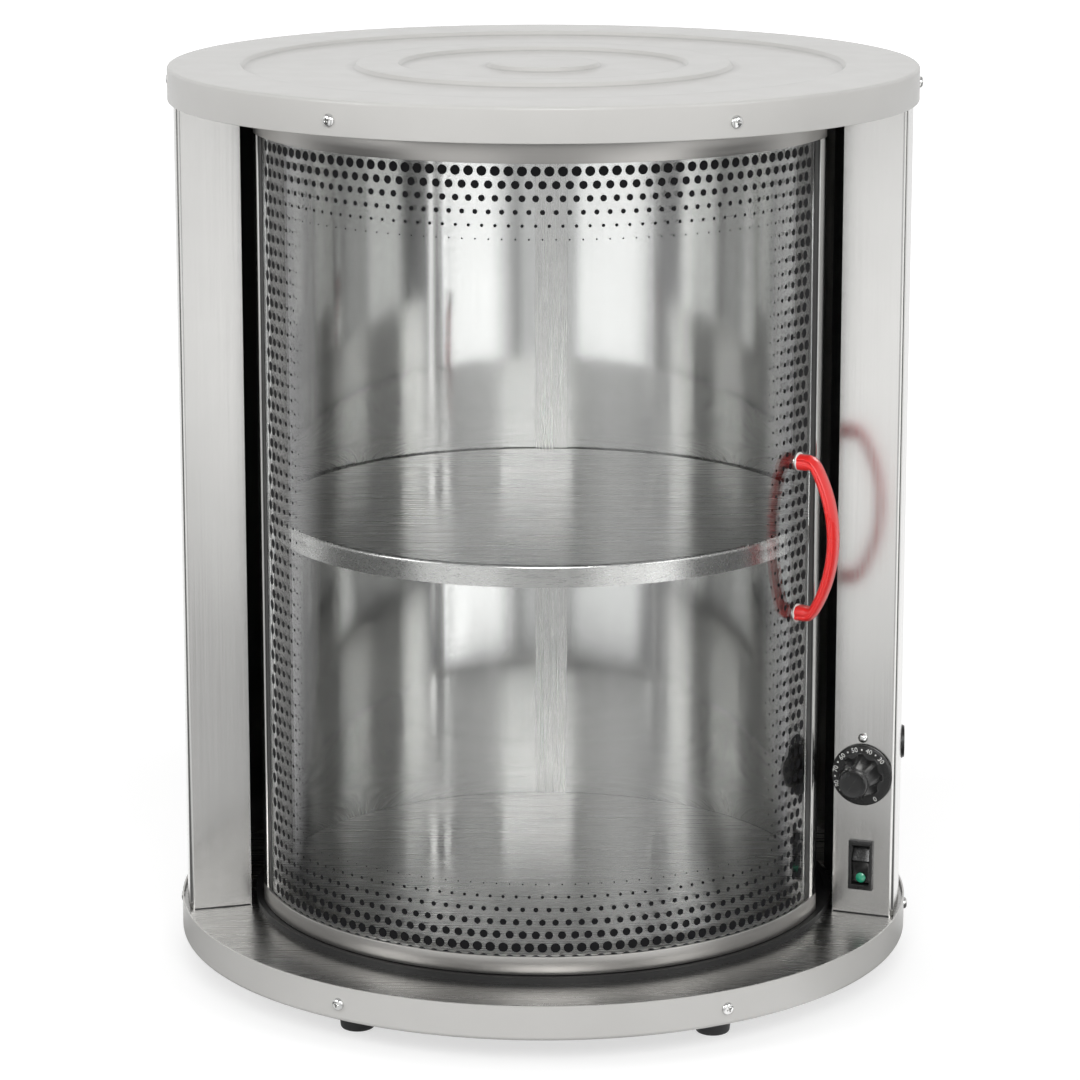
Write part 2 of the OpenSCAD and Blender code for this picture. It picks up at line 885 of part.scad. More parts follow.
module heating_element()
    color([0.35, 0.33, 0.31])
    {
        rotate([0, 0, 90 + heater_gap_a])
            rotate_extrude(angle = 360 - 2 * heater_gap_a, $fn = 96)
                translate([heater_r, heater_z])
                    circle(r = heater_tube_r, $fn = 32);
        for (s = [-1, 1])
            translate(concat(at(180 + s * heater_gap_a, heater_r), heater_end_z))
                cylinder(r = heater_end_r, h = heater_z + heater_tube_r + 0.6 - heater_end_z);
    }

module heater_clips()
    color(steel)
        for (a = heater_clip_angles)
            on_round(a, heater_r, deck_z)
                difference()
                {
                    translate([-clip_len / 2, -clip_w / 2, 0])
                        cube([clip_len, clip_w, heater_z - deck_z + heater_tube_r + clip_t]);
                    translate([0, -clip_w, heater_z - deck_z])
                        rotate([-90, 0, 0])
                            cylinder(r = heater_tube_r + 2 * seat, h = 2 * clip_w);
                }

cutout_at = [-60, -20];
cutout_r = 8.5;
cutout_h = 8;
cutout_plate = [24, 10, 1];
tab_w = 5;
tab_rise = 2;

module safety_cutout()
    color([0.3, 0.25, 0.2])
        translate([cutout_at[0], cutout_at[1], deck_z])
        {
            translate([-cutout_plate[0] / 2, -cutout_plate[1] / 2, 0])
                cube(cutout_plate);
            cylinder(r = cutout_r, h = cutout_h);
            for (s = [-1, 1])
                translate([s * cutout_r / 2 - lug_t / 2, -tab_w / 2, cutout_h - eps])
                    cube([lug_t, tab_w, tab_rise + eps]);
        }

// sensor between the heater and the drum, and its capillary: under the floor, down through
// the deck, up behind the right face and into the thermostat's back
bulb_y = -heater_r - 25;
bulb_z = deck_z + 5;
capillary_low_z = tray_z + 10;
capillary_path = [
    [bulb_len / 2, bulb_y, bulb_z],
    [120, -90, bulb_z],
    concat(capillary_hole, bulb_z),
    concat(capillary_hole, capillary_low_z),
    concat(wire_hole, capillary_low_z),
    concat(wire_hole, knob_z - 25),
    concat(face_mid - face_out * (casing_t + seat + therm_depth), knob_z - 6)];

module thermostat_bulb()
    color([0.72, 0.45, 0.3])
    {
        translate([-bulb_len / 2, bulb_y, bulb_z])
            rotate([0, 90, 0])
                cylinder(r = bulb_r, h = bulb_len);
        bent_tube(capillary_path, capillary_r);
    }

pole_count = 3;
pole_pitch = 11.5;
pole_wall = 1.75;
block_w = 18;
block_h = 12;
clamp_len = 5;

module terminal_block()
    color([0.9, 0.9, 0.85])
        translate([40, drum_r - 16, tray_z + shell_t])
            difference()
            {
                cube([pole_count * pole_pitch + pole_wall, block_w, block_h]);
                // one well for each clamp screw
                for (i = [0:pole_count - 1], y = [2, block_w - 2 - clamp_len])
                    translate([pole_wall + i * pole_pitch, y, block_h / 2])
                        cube([pole_pitch - pole_wall, clamp_len, block_h]);
            }

// ---- door --------------------------------------------------------------------------------

pane_low_z = low_rail_z + rail_wall + seat;
pane_top_z = top_rail_z + top_rail_h - rail_wall - seat;

module door_glass()
    color([0.8, 0.88, 0.9, 0.35])
        difference()
        {
            ring_part(pane_in_r, pane_r, pane_low_z, pane_top_z,
                      door_left + wall_a + seat_a, door_right - wall_a - seat_a);
            for (z = handle_screw_zs)
                out_of_round(handle_angle, pane_in_r - 5, z)
                    cylinder(r = handle_screw_r + hole_play + seat, h = 12);
        }

module door_bottom_rail()
    color(steel)
        difference()
        {
            ring_part(rail_in_r, rail_r, low_rail_z, low_rail_z + low_rail_h, door_left, door_right);
            ring_part(pane_in_r - seat, pane_r + seat, low_rail_z + rail_wall,
                      low_rail_z + low_rail_h + eps, door_left - 1, door_right + 1);
        }

module door_top_rail()
    color(steel)
        difference()
        {
            ring_part(rail_in_r, rail_r, top_rail_z, top_rail_z + top_rail_h, door_left, door_right);
            ring_part(pane_in_r - seat, pane_r + seat, top_rail_z - eps,
                      top_rail_z + top_rail_h - rail_wall, door_left - 1, door_right + 1);
        }

module upright(a_edge, a_wall, a_inner)
    color(steel)
        difference()
        {
            ring_part(rail_in_r, rail_r, low_rail_z + low_rail_h, top_rail_z,
                      min(a_edge, a_inner), max(a_edge, a_inner));
            ring_part(pane_in_r - seat, pane_r + seat, low_rail_z, top_rail_z + eps,
                      min(a_wall, a_inner) - (a_inner < a_wall ? 1 : 0),
                      max(a_wall, a_inner) + (a_inner > a_wall ? 1 : 0));
        }

module door_left_upright()
    upright(door_left, door_left + wall_a, door_left + upright_a);

module door_right_upright()
    upright(door_right, door_right - wall_a, door_right - upright_a);

module door_glides()
    color([0.12, 0.12, 0.12])
        for (a = glide_angles)
        {
            ring_part(pane_mid_r - glide_w / 2, pane_mid_r + glide_w / 2,
                      deck_z + track_floor + slide, low_rail_z,
                      a - arc(glide_len) / 2, a + arc(glide_len) / 2);
            ring_part(pane_mid_r - glide_w / 2, pane_mid_r + glide_w / 2,
                      top_rail_z + top_rail_h, top_rail_z + top_rail_h + top_glide_h,
                      a - arc(glide_len) / 2, a + arc(glide_len) / 2);
        }

// blocks in the lower track that the first and the last glide meet
stop_len = 8;
stop_gap_a = arc(glide_len / 2 + slide);
closed_stop_a = glide_angles[len(glide_angles) - 1] + stop_gap_a;
open_stop_a = glide_angles[0] - door_travel - stop_gap_a;

module door_stops()
    color(black)
        for (a = [closed_stop_a, open_stop_a - arc(stop_len)])
            ring_part(pane_mid_r - glide_w / 2, pane_mid_r + glide_w / 2,
                      deck_z + track_floor, deck_z + track_h, a, a + arc(stop_len));

// ---- handle ------------------------------------------------------------------------------

// The handle is one section carried along a path in its own plane: square out of the upper foot,
// round a bend, down a wide arc, round the second bend and square into the lower foot.

// half of the bow's section, from its inner face to its outer edge: [outwards, sideways]
handle_half = [
    [-handle_t / 2, handle_w / 2 - handle_bevel],
    [-handle_t / 2 + handle_bevel, handle_w / 2],
    [handle_t / 2 - handle_crown - handle_edge, handle_w / 2],
    [handle_t / 2 - handle_crown, handle_w / 2 - handle_edge],
    [handle_t / 2 - handle_crown * 0.25, handle_w / 4]];
handle_section = concat(
    handle_half,
    [[handle_t / 2, 0]],
    [for (p = reversed(handle_half)) [p[0], -p[1]]]);

// stations of the path: distance from the axis, height, heading, and how far the foot's height
// still thickens the section (1 in a foot, 0 along the bow)
bend_steps = 7;
arc_steps = 20;
function smooth_step(t) = t * t * (3 - 2 * t);
handle_upper = concat(
    [[handle_foot_x, handle_pitch / 2, 0, 1]],
    [for (i = [0:bend_steps - 1]) let (h = handle_bend_a * i / bend_steps)
        [handle_leg_x + handle_bend_r * sin(h),
         handle_pitch / 2 - handle_bend_r * (1 - cos(h)), h, 1 - smooth_step(i / bend_steps)]],
    [for (i = [0:arc_steps / 2 - 1]) let (h = handle_bend_a + (90 - handle_bend_a) * 2 * i / arc_steps)
        [handle_arc_x + handle_arc_r * sin(h), handle_arc_r * cos(h), h, 0]]);
handle_path = concat(
    handle_upper,
    [[handle_arc_x + handle_arc_r, 0, 90, 0]],
    [for (p = reversed(handle_upper)) [p[0], -p[1], 180 - p[2], p[3]]]);

// points of the section at one station of the path
function carried(section, p) = let (grow = 1 + p[3] * (handle_foot_h / handle_t - 1))
    [for (q = section) [p[0] + q[0] * grow * sin(p[2]), q[1], p[1] + q[0] * grow * cos(p[2])]];

// faces between rings of equally many points, in triangles, and the two ends
function swept_faces(rings, count) = concat(
    [for (i = [0:rings - 2], j = [0:count - 1]) let (n = (j + 1) % count)
        [i * count + j, (i + 1) * count + n, i * count + n]],
    [for (i = [0:rings - 2], j = [0:count - 1]) let (n = (j + 1) % count)
        [i * count + j, (i + 1) * count + j, (i + 1) * count + n]],
    [[for (j = [0:count - 1]) j]],
    [[for (j = [count - 1:-1:0]) (rings - 1) * count + j]]);

module handle()
    color(red)
        on_round(handle_angle, 0, handle_z)
            difference()
            {
                polyhedron(
                    points = [for (p = handle_path) each carried(handle_section, p)],
                    faces = swept_faces(len(handle_path), len(handle_section)),
                    convexity = 4);
                for (s = [-1, 1])
                    translate([handle_foot_x - eps, 0, s * handle_pitch / 2])
                        rotate([0, 90, 0])
                            cylinder(r = handle_screw_r + seat, h = handle_screw_depth + eps, $fn = 24);
            }

module handle_washers()
    color([0.9, 0.9, 0.88])
        for (z = handle_screw_zs)
            out_of_round(handle_angle, pane_r + proud, z)
                difference()
                {
                    cylinder(r = washer_r, h = washer_t);
                    translate([0, 0, -eps])
                        cylinder(r = handle_screw_r + seat, h = washer_t + 2 * eps);
                }

module handle_screws()
    color(polished)
        for (z = handle_screw_zs)
            on_round(handle_angle, pane_in_r - 0.03, z)
                rotate([0, -90, 0])
                    pan_screw(3.4, 1.6, handle_screw_r, pane_t + washer_t + handle_screw_depth - 0.5);

// ---- shelf -------------------------------------------------------------------------------

shelf_edge_r = 2;
notch_w = strip_w + 3;
shelf_section = concat(
    [[0, shelf_z]],
    quarter(shelf_r - shelf_edge_r, shelf_z - shelf_edge_r, shelf_edge_r),
    [[shelf_r, shelf_z - shelf_rim_h], [shelf_r - shelf_t, shelf_z - shelf_rim_h],
     [shelf_r - shelf_t, shelf_z - shelf_t], [0, shelf_z - shelf_t]]);

module shelf()
    color(polished)
        difference()
        {
            rotate_extrude($fn = 180)
                polygon(shelf_section);
            translate([-notch_w / 2, strip_y - 1.5, shelf_z - shelf_rim_h - eps])
                cube([notch_w, 10, shelf_rim_h + 2 * eps]);
        }

lid();
lid_screws();
ceiling_pan();
upper_track();
outer_casing();
left_front_panel();
right_front_panel();
inner_liner();
rear_strip();
inner_floor();
shelf_brackets();
control_box();
base_deck();
base_tray();
tray_screws();
lower_track();
door_stops();
feet();
foot_screws();
thermostat_body();
thermostat_bulb();
index_stud();
switch_housing();
side_plug();
heating_element();
heater_clips();
safety_cutout();
terminal_block();
cord_bushing();
door_glass();
door_top_rail();
door_bottom_rail();
door_left_upright();
door_right_upright();
door_glides();
handle();
handle_washers();
handle_screws();
thermostat_knob();
thermostat_shaft();
switch_rocker();
switch_lens();
shelf();
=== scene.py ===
# %% [markdown]
# # Dressing a round plate warmer
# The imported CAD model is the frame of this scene. It is loaded once and never moved. Each visible
# piece is then either a CAD part with a better finish, or a finer piece that stands in its place.
# All sizes are metres. The front of the cabinet faces -Y, and +Z is up.

# %% Load the frame
import json
import math

import bmesh
import bpy
from mathutils import Matrix, Vector


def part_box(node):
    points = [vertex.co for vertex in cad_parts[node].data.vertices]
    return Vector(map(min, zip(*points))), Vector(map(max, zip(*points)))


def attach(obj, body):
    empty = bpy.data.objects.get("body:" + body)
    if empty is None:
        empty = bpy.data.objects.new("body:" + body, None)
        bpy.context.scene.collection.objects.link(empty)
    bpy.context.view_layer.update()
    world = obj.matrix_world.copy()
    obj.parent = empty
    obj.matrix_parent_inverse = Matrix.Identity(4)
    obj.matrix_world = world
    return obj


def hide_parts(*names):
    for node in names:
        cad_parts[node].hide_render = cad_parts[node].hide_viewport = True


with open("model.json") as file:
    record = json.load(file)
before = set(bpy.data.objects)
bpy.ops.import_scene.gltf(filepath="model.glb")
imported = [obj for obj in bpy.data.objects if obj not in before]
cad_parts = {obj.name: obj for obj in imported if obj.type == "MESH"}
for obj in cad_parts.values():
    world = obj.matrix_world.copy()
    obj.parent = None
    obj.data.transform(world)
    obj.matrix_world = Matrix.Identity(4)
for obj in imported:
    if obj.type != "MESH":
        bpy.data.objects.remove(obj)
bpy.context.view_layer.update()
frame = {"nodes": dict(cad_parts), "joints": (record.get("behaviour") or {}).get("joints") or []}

parts = frame["nodes"]
joints = {j["name"]: j for j in frame["joints"]}

# %% [markdown]
# ## Sizes come from the parts
# A size that is read from a CAD part can't drift away from it. So the radius of a round part is
# half the width of its box, and a height is the top or the bottom of a box.

# %% Sizes of the cabinet
MM = 0.001


def low(node):
    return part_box(node)[0].z


def high(node):
    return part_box(node)[1].z


def reach(node):
    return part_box(node)[1].x


lid_r, lid_top, lid_rim = reach("lid"), high("lid"), low("lid")
print(f"lid radius {lid_r / MM:.1f} mm, top at {lid_top / MM:.1f} mm")

# %% [markdown]
# ## Small helpers for meshes
# A turned part is a section spun round the Z axis. Blender's Screw modifier could spin it too, but
# a few lines keep every vertex where the section says. A point on the axis becomes one vertex, so
# the pole is closed. An arc of a turned part gets a cap at each end. Every mesh goes through one
# function, which merges its doubles, turns its faces outwards, softens its corners, smooths what
# is round and hangs the piece on its body.


# %% Turned sections
def polar(angle, radius, height):
    """A point at an angle in degrees from the front, towards the right."""
    a = math.radians(angle)
    return (radius * math.sin(a), -radius * math.cos(a), height)


def turned(section, steps=192):
    """Vertices and faces of a closed section (radius, height) turned all the way round."""
    verts, rings = [], []
    for radius, height in section:
        if radius < 1e-7:
            rings.append([len(verts)])
            verts.append((0.0, 0.0, height))
        else:
            rings.append(list(range(len(verts), len(verts) + steps)))
            verts += [polar(360 * i / steps, radius, height) for i in range(steps)]
    faces = []
    for k, ring in enumerate(rings):
        after = rings[(k + 1) % len(rings)]
        for i in range(steps):
            j = (i + 1) % steps
            quad = [ring[i % len(ring)], ring[j % len(ring)],
                    after[j % len(after)], after[i % len(after)]]
            quad = list(dict.fromkeys(quad))
            if len(quad) > 2:
                faces.append(quad)
    return verts, faces


def turned_arc(section, start, end, steps=128):
    """The same section turned between two angles, with flat ends."""
    angles = [start + (end - start) * i / steps for i in range(steps + 1)]
    return lofted([[polar(a, radius, height) for radius, height in section] for a in angles])


def lofted(rings):
    """Skins closed rings of equally many points, and closes both ends."""
    verts, faces, count = [], [], len(rings[0])
    for ring in rings:
        verts += [tuple(p) for p in ring]
    for i in range(len(rings) - 1):
        for k in range(count):
            n = (k + 1) % count
            faces.append([i * count + k, i * count + n, (i + 1) * count + n, (i + 1) * count + k])
    faces.append(list(range(count)))
    faces.append([(len(rings) - 1) * count + k for k in reversed(range(count))])
    return verts, faces


def corner(cx, cz, radius, start, end, steps=6):
    """Points of a rounded corner in a section, from one angle to the other in degrees."""
    return [(cx + radius * math.cos(math.radians(start + (end - start) * i / steps)),
             cz + radius * math.sin(math.radians(start + (end - start) * i / steps)))
            for i in range(steps + 1)]


print("helpers for turned and lofted meshes are ready")


# %% Finish a piece
def smooth_by_angle(mesh, degrees=35):
    mesh.shade_smooth()
    mesh.set_sharp_from_angle(angle=math.radians(degrees))


def soften(bm, width, segments=2, degrees=32):
    """Rounds every edge where two faces meet at more than the given angle."""
    edges = [e for e in bm.edges
             if len(e.link_faces) == 2 and e.calc_face_angle(0) > math.radians(degrees)]
    bmesh.ops.bevel(bm, geom=edges, offset=width, offset_type="OFFSET", segments=segments,
                    profile=0.5, affect="EDGES", clamp_overlap=True)


def hang(obj, material, body, stands_for=()):
    """Gives a mesh its finish, hangs it on its body and hides the CAD parts that it stands for."""
    obj.data.materials.clear()
    obj.data.materials.append(material)
    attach(obj, body)
    if stands_for:
        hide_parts(*stands_for)
    print(f"{obj.name}: {len(obj.data.polygons)} faces on {body}")
    return obj


def linked(name, data):
    """A new object in the scene."""
    obj = bpy.data.objects.new(name, data)
    bpy.context.scene.collection.objects.link(obj)
    return obj


def solid_mesh(name, shape, edge=0.0):
    """A mesh from vertices and faces, with its doubles merged and its faces outwards."""
    mesh = bpy.data.meshes.new(name)
    mesh.from_pydata(shape[0], [], shape[1])
    bm = bmesh.new()
    bm.from_mesh(mesh)
    bmesh.ops.remove_doubles(bm, verts=bm.verts, dist=1e-7)
    bmesh.ops.recalc_face_normals(bm, faces=bm.faces)
    if edge:
        soften(bm, edge)
    bm.to_mesh(mesh)
    bm.free()
    return mesh


def piece(name, shape, material, body, stands_for=(), place=None, edge=0.0, crease=35):
    """One piece from vertices and faces, in place and hung on its body."""
    mesh = solid_mesh(name, shape, edge)
    if place is not None:
        mesh.transform(place)
    smooth_by_angle(mesh, crease)
    return hang(linked(name, mesh), material, body, stands_for)


def softened(node, edge, material, body, segments=2):
    """A copy of a CAD part whose sharp edges are rounded, in the part's place."""
    mesh = parts[node].data.copy()
    mesh.name = node + "_soft"
    bm = bmesh.new()
    bm.from_mesh(mesh)
    bmesh.ops.remove_doubles(bm, verts=bm.verts, dist=2e-6)
    bmesh.ops.dissolve_limit(bm, angle_limit=math.radians(0.6), verts=bm.verts, edges=bm.edges)
    soften(bm, edge, segments)
    bm.to_mesh(mesh)
    bm.free()
    for layer in [a.name for a in mesh.attributes if a.name == "custom_normal"]:
        mesh.attributes.remove(mesh.attributes[layer])
    smooth_by_angle(mesh)
    return hang(linked(node + "_soft", mesh), material, body, [node])


print("helpers for finished pieces are ready")

# %% [markdown]
# ## Nodes and shader groups
# Every material, tree and light pool here is built from nodes, so two helpers come first: one adds
# a node and links it, the other does one sum. Brushing, orange peel, handling marks and worn edges
# appear in several finishes. Each of them could be drawn again in every material, but one group
# with named sockets keeps them alike, and each material places it with its own values. The groups
# put out masks and heights only, and the Principled shader stays in the material itself.


# %% Add a node, do a sum
def add(tree, kind, sockets=None, **settings):
    """A new node with its settings. Each socket named in sockets gets a link or a value."""
    made = tree.nodes.new(kind)
    for label, value in settings.items():
        setattr(made, label, value)
    for label, value in (sockets or {}).items():
        if isinstance(value, bpy.types.NodeSocket):
            tree.links.new(value, made.inputs[label])
        else:
            made.inputs[label].default_value = value
    return made


def calc(tree, operation, first, second=0.0):
    """The result of one sum on numbers or sockets."""
    return add(tree, "ShaderNodeMath", {0: first, 1: second}, operation=operation).outputs[0]


def times(tree, *values):
    """The product of several numbers or sockets."""
    result = values[0]
    for value in values[1:]:
        result = calc(tree, "MULTIPLY", result, value)
    return result


def noise(tree, vector, scale, detail=2.0, rough=0.5):
    return add(tree, "ShaderNodeTexNoise", {
        "Vector": vector, "Scale": scale, "Detail": detail, "Roughness": rough}).outputs["Fac"]


def ranged(tree, value, start, end, to_start, to_end):
    """Maps a value from one range to another, clamped. Ends may be numbers or sockets."""
    return add(tree, "ShaderNodeMapRange", {
        "Value": value, "From Min": start, "From Max": end, "To Min": to_start,
        "To Max": to_end}).outputs["Result"]


def node_tree(name, kind, inputs, outputs):
    """An empty node group with named sockets. inputs are (name, socket type, default)."""
    tree = bpy.data.node_groups.new(name, kind)
    for label, socket_type in outputs:
        tree.interface.new_socket(name=label, in_out="OUTPUT", socket_type=socket_type)
    for label, socket_type, default in inputs:
        socket = tree.interface.new_socket(name=label, in_out="INPUT", socket_type=socket_type)
        if default is not None:
            socket.default_value = default
    return tree, tree.nodes.new("NodeGroupInput").outputs, tree.nodes.new("NodeGroupOutput").inputs


FLOAT, INTEGER, VECTOR = "NodeSocketFloat", "NodeSocketInt", "NodeSocketVector"
print("node helpers are ready")


# %% Shader groups
def shader_group(name, inputs, *outputs):
    """A shader group that reads a place and puts out numbers."""
    named = [("Vector", VECTOR, None)] + inputs
    return node_tree(name, "ShaderNodeTree", named, [(label, FLOAT) for label in outputs])


# brushing: noise drawn out into long lines
brushing, g_in, g_out = shader_group("brushed_lines", [
    ("Stretch", VECTOR, (1.0, 1.0, 1.0)), ("Contrast", FLOAT, 0.1)], "Height", "Shade")
drawn = add(brushing, "ShaderNodeVectorMath", {0: g_in["Vector"], 1: g_in["Stretch"]},
            operation="MULTIPLY")
lines = noise(brushing, drawn.outputs["Vector"], 1.0, 5.0, 0.62)
darkest = calc(brushing, "SUBTRACT", 1.0, g_in["Contrast"])
brushing.links.new(lines, g_out["Height"])
brushing.links.new(ranged(brushing, lines, 0.3, 0.7, darkest, 1.0), g_out["Shade"])

# patches: slow changes, as from handling, rolling or moulding
patches, g_in, g_out = shader_group("soft_patches", [
    ("Scale", FLOAT, 12.0), ("Low", FLOAT, 0.0), ("High", FLOAT, 1.0)], "Value")
cloud = noise(patches, g_in["Vector"], g_in["Scale"], 3.0, 0.6)
patches.links.new(ranged(patches, cloud, 0.32, 0.68, g_in["Low"], g_in["High"]), g_out["Value"])

# skin: orange peel on paint, or the grain of a mould
skin, g_in, g_out = shader_group("fine_skin", [("Scale", FLOAT, 900.0)], "Height")
skin.links.new(noise(skin, g_in["Vector"], g_in["Scale"], 3.0, 0.55), g_out["Height"])


def point_mask(name, start, full, amount, scale, detail, rough, broken):
    """A mask where the mesh is pointed or hollow, broken up by noise."""
    tree, g_in, g_out = shader_group(name, [
        ("Start", FLOAT, start), ("Amount", FLOAT, amount)], "Mask")
    pointed = tree.nodes.new("ShaderNodeNewGeometry").outputs["Pointiness"]
    found = ranged(tree, pointed, g_in["Start"], full, 0.0, g_in["Amount"])
    breaks = ranged(tree, noise(tree, g_in["Vector"], scale, detail, rough), *broken)
    tree.links.new(times(tree, found, breaks), g_out["Mask"])
    return tree


worn = point_mask("worn_edges", 0.53, 0.62, 0.5, 700.0, 3.0, 0.6, (0.35, 0.6, 0.0, 1.0))
# painted shade: this mask darkens the mesh where it is hollow, as shade falls in the corners of the
# lid's steps
painted_recess_shade = point_mask("painted_shade_in_hollows", 0.495, 0.46, 0.3, 60.0, 2.0, 0.5, (0.2, 0.6, 0.7, 1.0))
print("shader groups:", ", ".join(g.name for g in bpy.data.node_groups))

# %% [markdown]
# ## Finishes
# Two recipes cover nearly everything here. Bare metal is brushed, rolled or galvanised: its colour
# and its roughness change along the brushing. Paint, plastic and rubber have a fine skin, a few
# slow patches and lighter edges. Numbers that are the same all over are set on the shader itself.


# %% What both recipes use
def blank_material(name):
    """A material with only a Principled shader, and the piece's own coordinates."""
    mat = bpy.data.materials.new(name)
    mat.use_nodes = True
    tree = mat.node_tree
    tree.nodes.clear()
    shader = add(tree, "ShaderNodeBsdfPrincipled")
    out = add(tree, "ShaderNodeOutputMaterial", {"Surface": shader.outputs["BSDF"]})
    coords = tree.nodes.new("ShaderNodeTexCoord").outputs["Object"]
    return mat, tree, shader, out, coords


def placed(tree, group, coords, **values):
    """Places a shader group in a material, with this material's values."""
    return add(tree, "ShaderNodeGroup", {"Vector": coords, **values}, node_tree=group)


def mixed(tree, kind, factor, first, second):
    """Mixes two colours; each may be a colour or a socket, and so may the factor."""
    return add(tree, "ShaderNodeMix", {0: factor, 6: first, 7: second},
               data_type="RGBA", blend_type=kind).outputs[2]


def bumped(tree, shader, height, depth):
    bump = add(tree, "ShaderNodeBump", {"Strength": 1.0, "Distance": depth, "Height": height})
    tree.links.new(bump.outputs["Normal"], shader.inputs["Normal"])


print("material helpers are ready")


# %% Recipe for bare metal
def metal(name, colour, rough, spread, stretch, contrast, depth, patch=9.0):
    """Bare metal. stretch is how many lines fit in a metre along each axis."""
    mat, tree, shader, _, coords = blank_material(name)
    lines = placed(tree, brushing, coords, Stretch=stretch, Contrast=contrast)
    cloud = placed(tree, patches, coords, Scale=patch, Low=0.93, High=1.0)
    tone = times(tree, lines.outputs["Shade"], cloud.outputs["Value"])
    tree.links.new(mixed(tree, "MULTIPLY", 1.0, (*colour, 1.0), tone), shader.inputs["Base Color"])
    shader.inputs["Metallic"].default_value = 1.0
    height = lines.outputs["Height"]
    tree.links.new(ranged(tree, height, 0.35, 0.65, rough - spread, rough + spread),
                   shader.inputs["Roughness"])
    bumped(tree, shader, height, depth)
    return mat


print("recipe for metal is ready")


# %% Recipe for coated surfaces
# the dark grey of the painted shade in hollow corners
PAINTED_SHADE_GREY = (0.16, 0.155, 0.15, 1.0)


def coated(name, colour, rough, skin_scale, depth, edge=0.0, edge_colour=(0.5, 0.5, 0.5),
           tint=0.06, coat=0.0, spread=0.05, painted_shade=0.0, specular=0.5):
    """Paint, plastic or rubber, with lighter worn edges if edge is set and painted shade darkening
    its hollows.
    """
    mat, tree, shader, _, coords = blank_material(name)
    cloud = placed(tree, patches, coords, Scale=14.0, Low=1.0 - tint, High=1.0)
    base = mixed(tree, "MULTIPLY", 1.0, (*colour, 1.0), cloud.outputs["Value"])
    if edge:
        rub = placed(tree, worn, coords, Amount=edge)
        base = mixed(tree, "MIX", rub.outputs["Mask"], base, (*edge_colour, 1.0))
    # painted shade: hollow corners are darkened towards a dark grey
    if painted_shade:
        shade_mask = placed(tree, painted_recess_shade, coords, Amount=painted_shade)
        base = mixed(tree, "MIX", shade_mask.outputs["Mask"], base, PAINTED_SHADE_GREY)
    tree.links.new(base, shader.inputs["Base Color"])
    marks = placed(tree, patches, coords, Scale=37.8, Low=rough - spread, High=rough + spread)
    tree.links.new(marks.outputs["Value"], shader.inputs["Roughness"])
    bumped(tree, shader, placed(tree, skin, coords, Scale=skin_scale).outputs["Height"], depth)
    shader.inputs["Coat Weight"].default_value = coat
    shader.inputs["Coat Roughness"].default_value = 0.08
    shader.inputs["Specular IOR Level"].default_value = specular
    return mat


print("recipe for coated surfaces is ready")

# %% Steel finishes
VERTICAL, ACROSS = (900.0, 900.0, 9.0), (9.0, 900.0, 900.0)
LENGTHWAYS, ANYWHERE = (12.0, 12.0, 500.0), (220.0, 220.0, 220.0)
steel_casing = metal("steel_brushed_casing", (0.66, 0.655, 0.64), 0.22, 0.03, VERTICAL, 0.05, 2e-6)
# painted shade: the deck, shelf and rail steels are much darker copies of the casing's steel, for
# the darker tone that these parts show
steel_deck_shaded = metal("steel_brushed_deck_shaded", (0.42, 0.415, 0.405), 0.28, 0.03, ACROSS, 0.06, 1e-6)
steel_drum = metal("steel_polished_drum", (0.58, 0.58, 0.57), 0.09, 0.02, VERTICAL, 0.06, 1e-6)
steel_shelf_shaded = metal("steel_satin_shelf_shaded", (0.41, 0.405, 0.395), 0.28, 0.03, ACROSS, 0.05, 1e-6)
steel_rail_shaded = metal("steel_satin_rail_shaded", (0.42, 0.41, 0.395), 0.36, 0.03, LENGTHWAYS, 0.05, 1e-6)
steel_upright = metal("steel_satin_upright", (0.6, 0.6, 0.59), 0.16, 0.02, VERTICAL, 0.04, 1e-6)
steel_strip = metal("steel_satin_strip", (0.54, 0.535, 0.525), 0.27, 0.01, VERTICAL, 0.02, 2e-7)
# painted shade: the control box partition is bare steel, made near black so that the slots beside
# the door look shaded
steel_partition_shade = metal("steel_partition_painted_shade", (0.06, 0.06, 0.06), 0.5, 0.05, ANYWHERE, 0.1, 2e-6)
steel_zinc = metal("steel_galvanised", (0.5, 0.51, 0.52), 0.42, 0.1, ANYWHERE, 0.25, 3e-6, 60.0)
steel_screw = metal("steel_bright_screw", (0.72, 0.72, 0.71), 0.16, 0.05, ANYWHERE, 0.1, 1e-6,
                    300.0)
copper = metal("copper_tube", (0.72, 0.38, 0.24), 0.28, 0.08, ANYWHERE, 0.2, 2e-6, 90.0)
heater_skin = metal("heater_sheath", (0.2, 0.19, 0.18), 0.5, 0.1, ANYWHERE, 0.3, 4e-6, 40.0)
print("steel finishes:", sum(m.name.startswith("steel") for m in bpy.data.materials))

# %% Paint, plastic, rubber and ceramic
# the lid's paint carries painted shade in the corners of its pressed steps
paint_lid_with_painted_shade = coated("paint_warm_grey", (0.55, 0.543, 0.525), 0.45, 700.0, 3e-6,
                   tint=0.03, coat=0.3, painted_shade=0.6)
# the lid's grey is a little darker than the tray's although both are one paint: painted shade that
# tones down the lid's brightly lit top
paint_tray = coated("paint_warm_grey_tray", (0.565, 0.558, 0.54), 0.45, 700.0, 3e-6,
                    tint=0.03, coat=0.3)
black_satin = coated("plastic_black_satin", (0.011, 0.011, 0.011), 0.28, 2600.0, 3e-6,
                     edge=0.25, edge_colour=(0.2, 0.2, 0.2))
